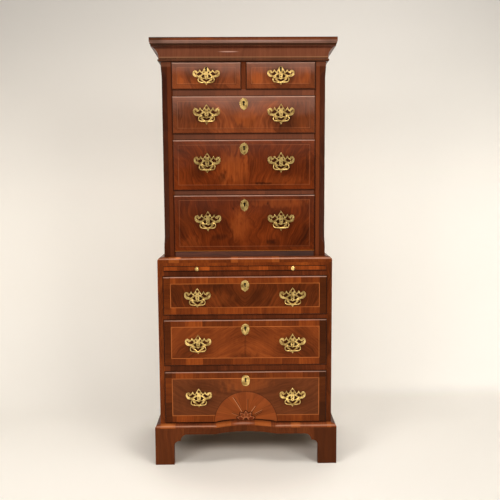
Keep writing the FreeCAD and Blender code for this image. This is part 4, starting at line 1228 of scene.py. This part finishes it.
def backdrop_paint():
    """Pale paint with painted shade towards the left and the top and a painted shadow under the
    chest. A painted glow lifts it for camera, glossy and transmission rays, mostly away from the
    chest, and it is clear when seen from behind.
    """
    paint = Paint("backdrop_paint")
    paint.set("Specular IOR Level", WALL_GLOSS)
    paint.set("Emission Color", linear(WALL_GLOW))
    # Painted shade: darker towards the left and towards the top, over soft uneven patches.
    marks = paint.clouds(1.5, 3.0)
    shade = paint.step(paint.x * -1.0, -0.2, 2.4)
    colour = paint.mix(paint.least(marks * 0.25 + shade * 0.6, 1.0), WALL_COLOUR, WALL_SHADE)
    colour = paint.mix(paint.step(paint.z, 1.85, 1.8), colour, WALL_TOP_SHADE)
    under = paint.stripe(paint.x, -0.37, 0.37, 0.08) * paint.stripe(paint.y, -0.04, 0.3, 0.14)
    paint.surface(paint.mix(under * 0.8, colour, FLOOR_SHADOW), WALL_ROUGHNESS)
    seen = paint.node("LightPath", {}, "Is Camera Ray")
    for kind in ("Glossy", "Transmission"):
        seen = paint.most(seen, paint.node("LightPath", {}, f"Is {kind} Ray"))
    near = 1 - paint.step(paint.length(paint.x, paint.y), 0.5, 0.3)
    lift = (1 - near) * (1 - under) * (1 - paint.step(paint.z, 1.35, 1.6)) * WALL_LIFT
    level = 1 - paint.step(paint.z, 0.05, 0.06)
    lift = lift * (1 - paint.step(paint.x, 0.5, 1.4) * level * 0.9)
    lift = lift + level * paint.step(paint.y, WALL_DISTANCE, 0.01) * FLOOR_LIFT
    paint.feed(paint.shader.inputs["Emission Strength"], seen * lift)
    behind = paint.node("NewGeometry", {}, "Backfacing")
    front = Field(paint, paint.shader.outputs[0])
    sides = paint.node("MixShader", {0: behind, 1: front, 2: paint.node("BsdfTransparent", {})})
    paint.feed(paint.tree.nodes["Material Output"].inputs["Surface"], sides)
    return paint.material


def make_stage():
    """A pale floor that curves up into a pale wall behind the chest. The wall shows only its front,
    and the floor goes on behind it, so the chest can be seen from all sides."""
    profile = [(-FLOOR_END, 0.0)]
    for number in range(COVE_STEPS + 1):
        turn = math.pi / 2 * number / COVE_STEPS
        profile.append((WALL_DISTANCE - COVE_RADIUS + COVE_RADIUS * math.sin(turn),
                        COVE_RADIUS - COVE_RADIUS * math.cos(turn)))
    profile.append((WALL_DISTANCE, WALL_HEIGHT))
    points = [(x, y, z) for x in (-STAGE_HALF_WIDTH, STAGE_HALF_WIDTH) for y, z in profile]
    count = len(profile)
    faces = [(n, count + n, count + n + 1, n + 1) for n in range(count - 1)]
    points += [(x, y, 0.0) for y in (WALL_DISTANCE - COVE_RADIUS, FLOOR_END)
               for x in (-STAGE_HALF_WIDTH, STAGE_HALF_WIDTH)]
    faces.append((2 * count, 2 * count + 1, 2 * count + 3, 2 * count + 2))
    mesh = solid_mesh("backdrop", points, faces)
    mesh.shade_smooth()
    mesh.materials.append(backdrop_paint())
    backdrop = add_object("backdrop", mesh)


def area_light(name, place, target, width, height, watts, colour):
    data = bpy.data.lights.new(name, "AREA")
    data.shape = "RECTANGLE"
    data.size = width
    data.size_y = height
    data.energy = watts
    data.color = linear(colour)[:3]
    light = add_object(name, data)
    light.location = place
    light.visible_camera = False
    light.rotation_euler = (Vector(target) - Vector(place)).to_track_quat("-Z", "Y").to_euler()


def make_lights():
    for lamp in LAMPS:
        area_light(*lamp)
    world = bpy.data.worlds.new("world")
    world.use_nodes = True
    background = world.node_tree.nodes["Background"]
    background.inputs["Color"].default_value = linear(SKY_COLOUR)
    background.inputs["Strength"].default_value = SKY_STRENGTH
    scene.world = world
    scene.view_settings.view_transform = "Standard"


make_camera()
dress_carcase()
dress_drawers()
make_fittings(brass("old_brass"), iron("lock_iron"))
make_petals()
make_stage()
make_lights()
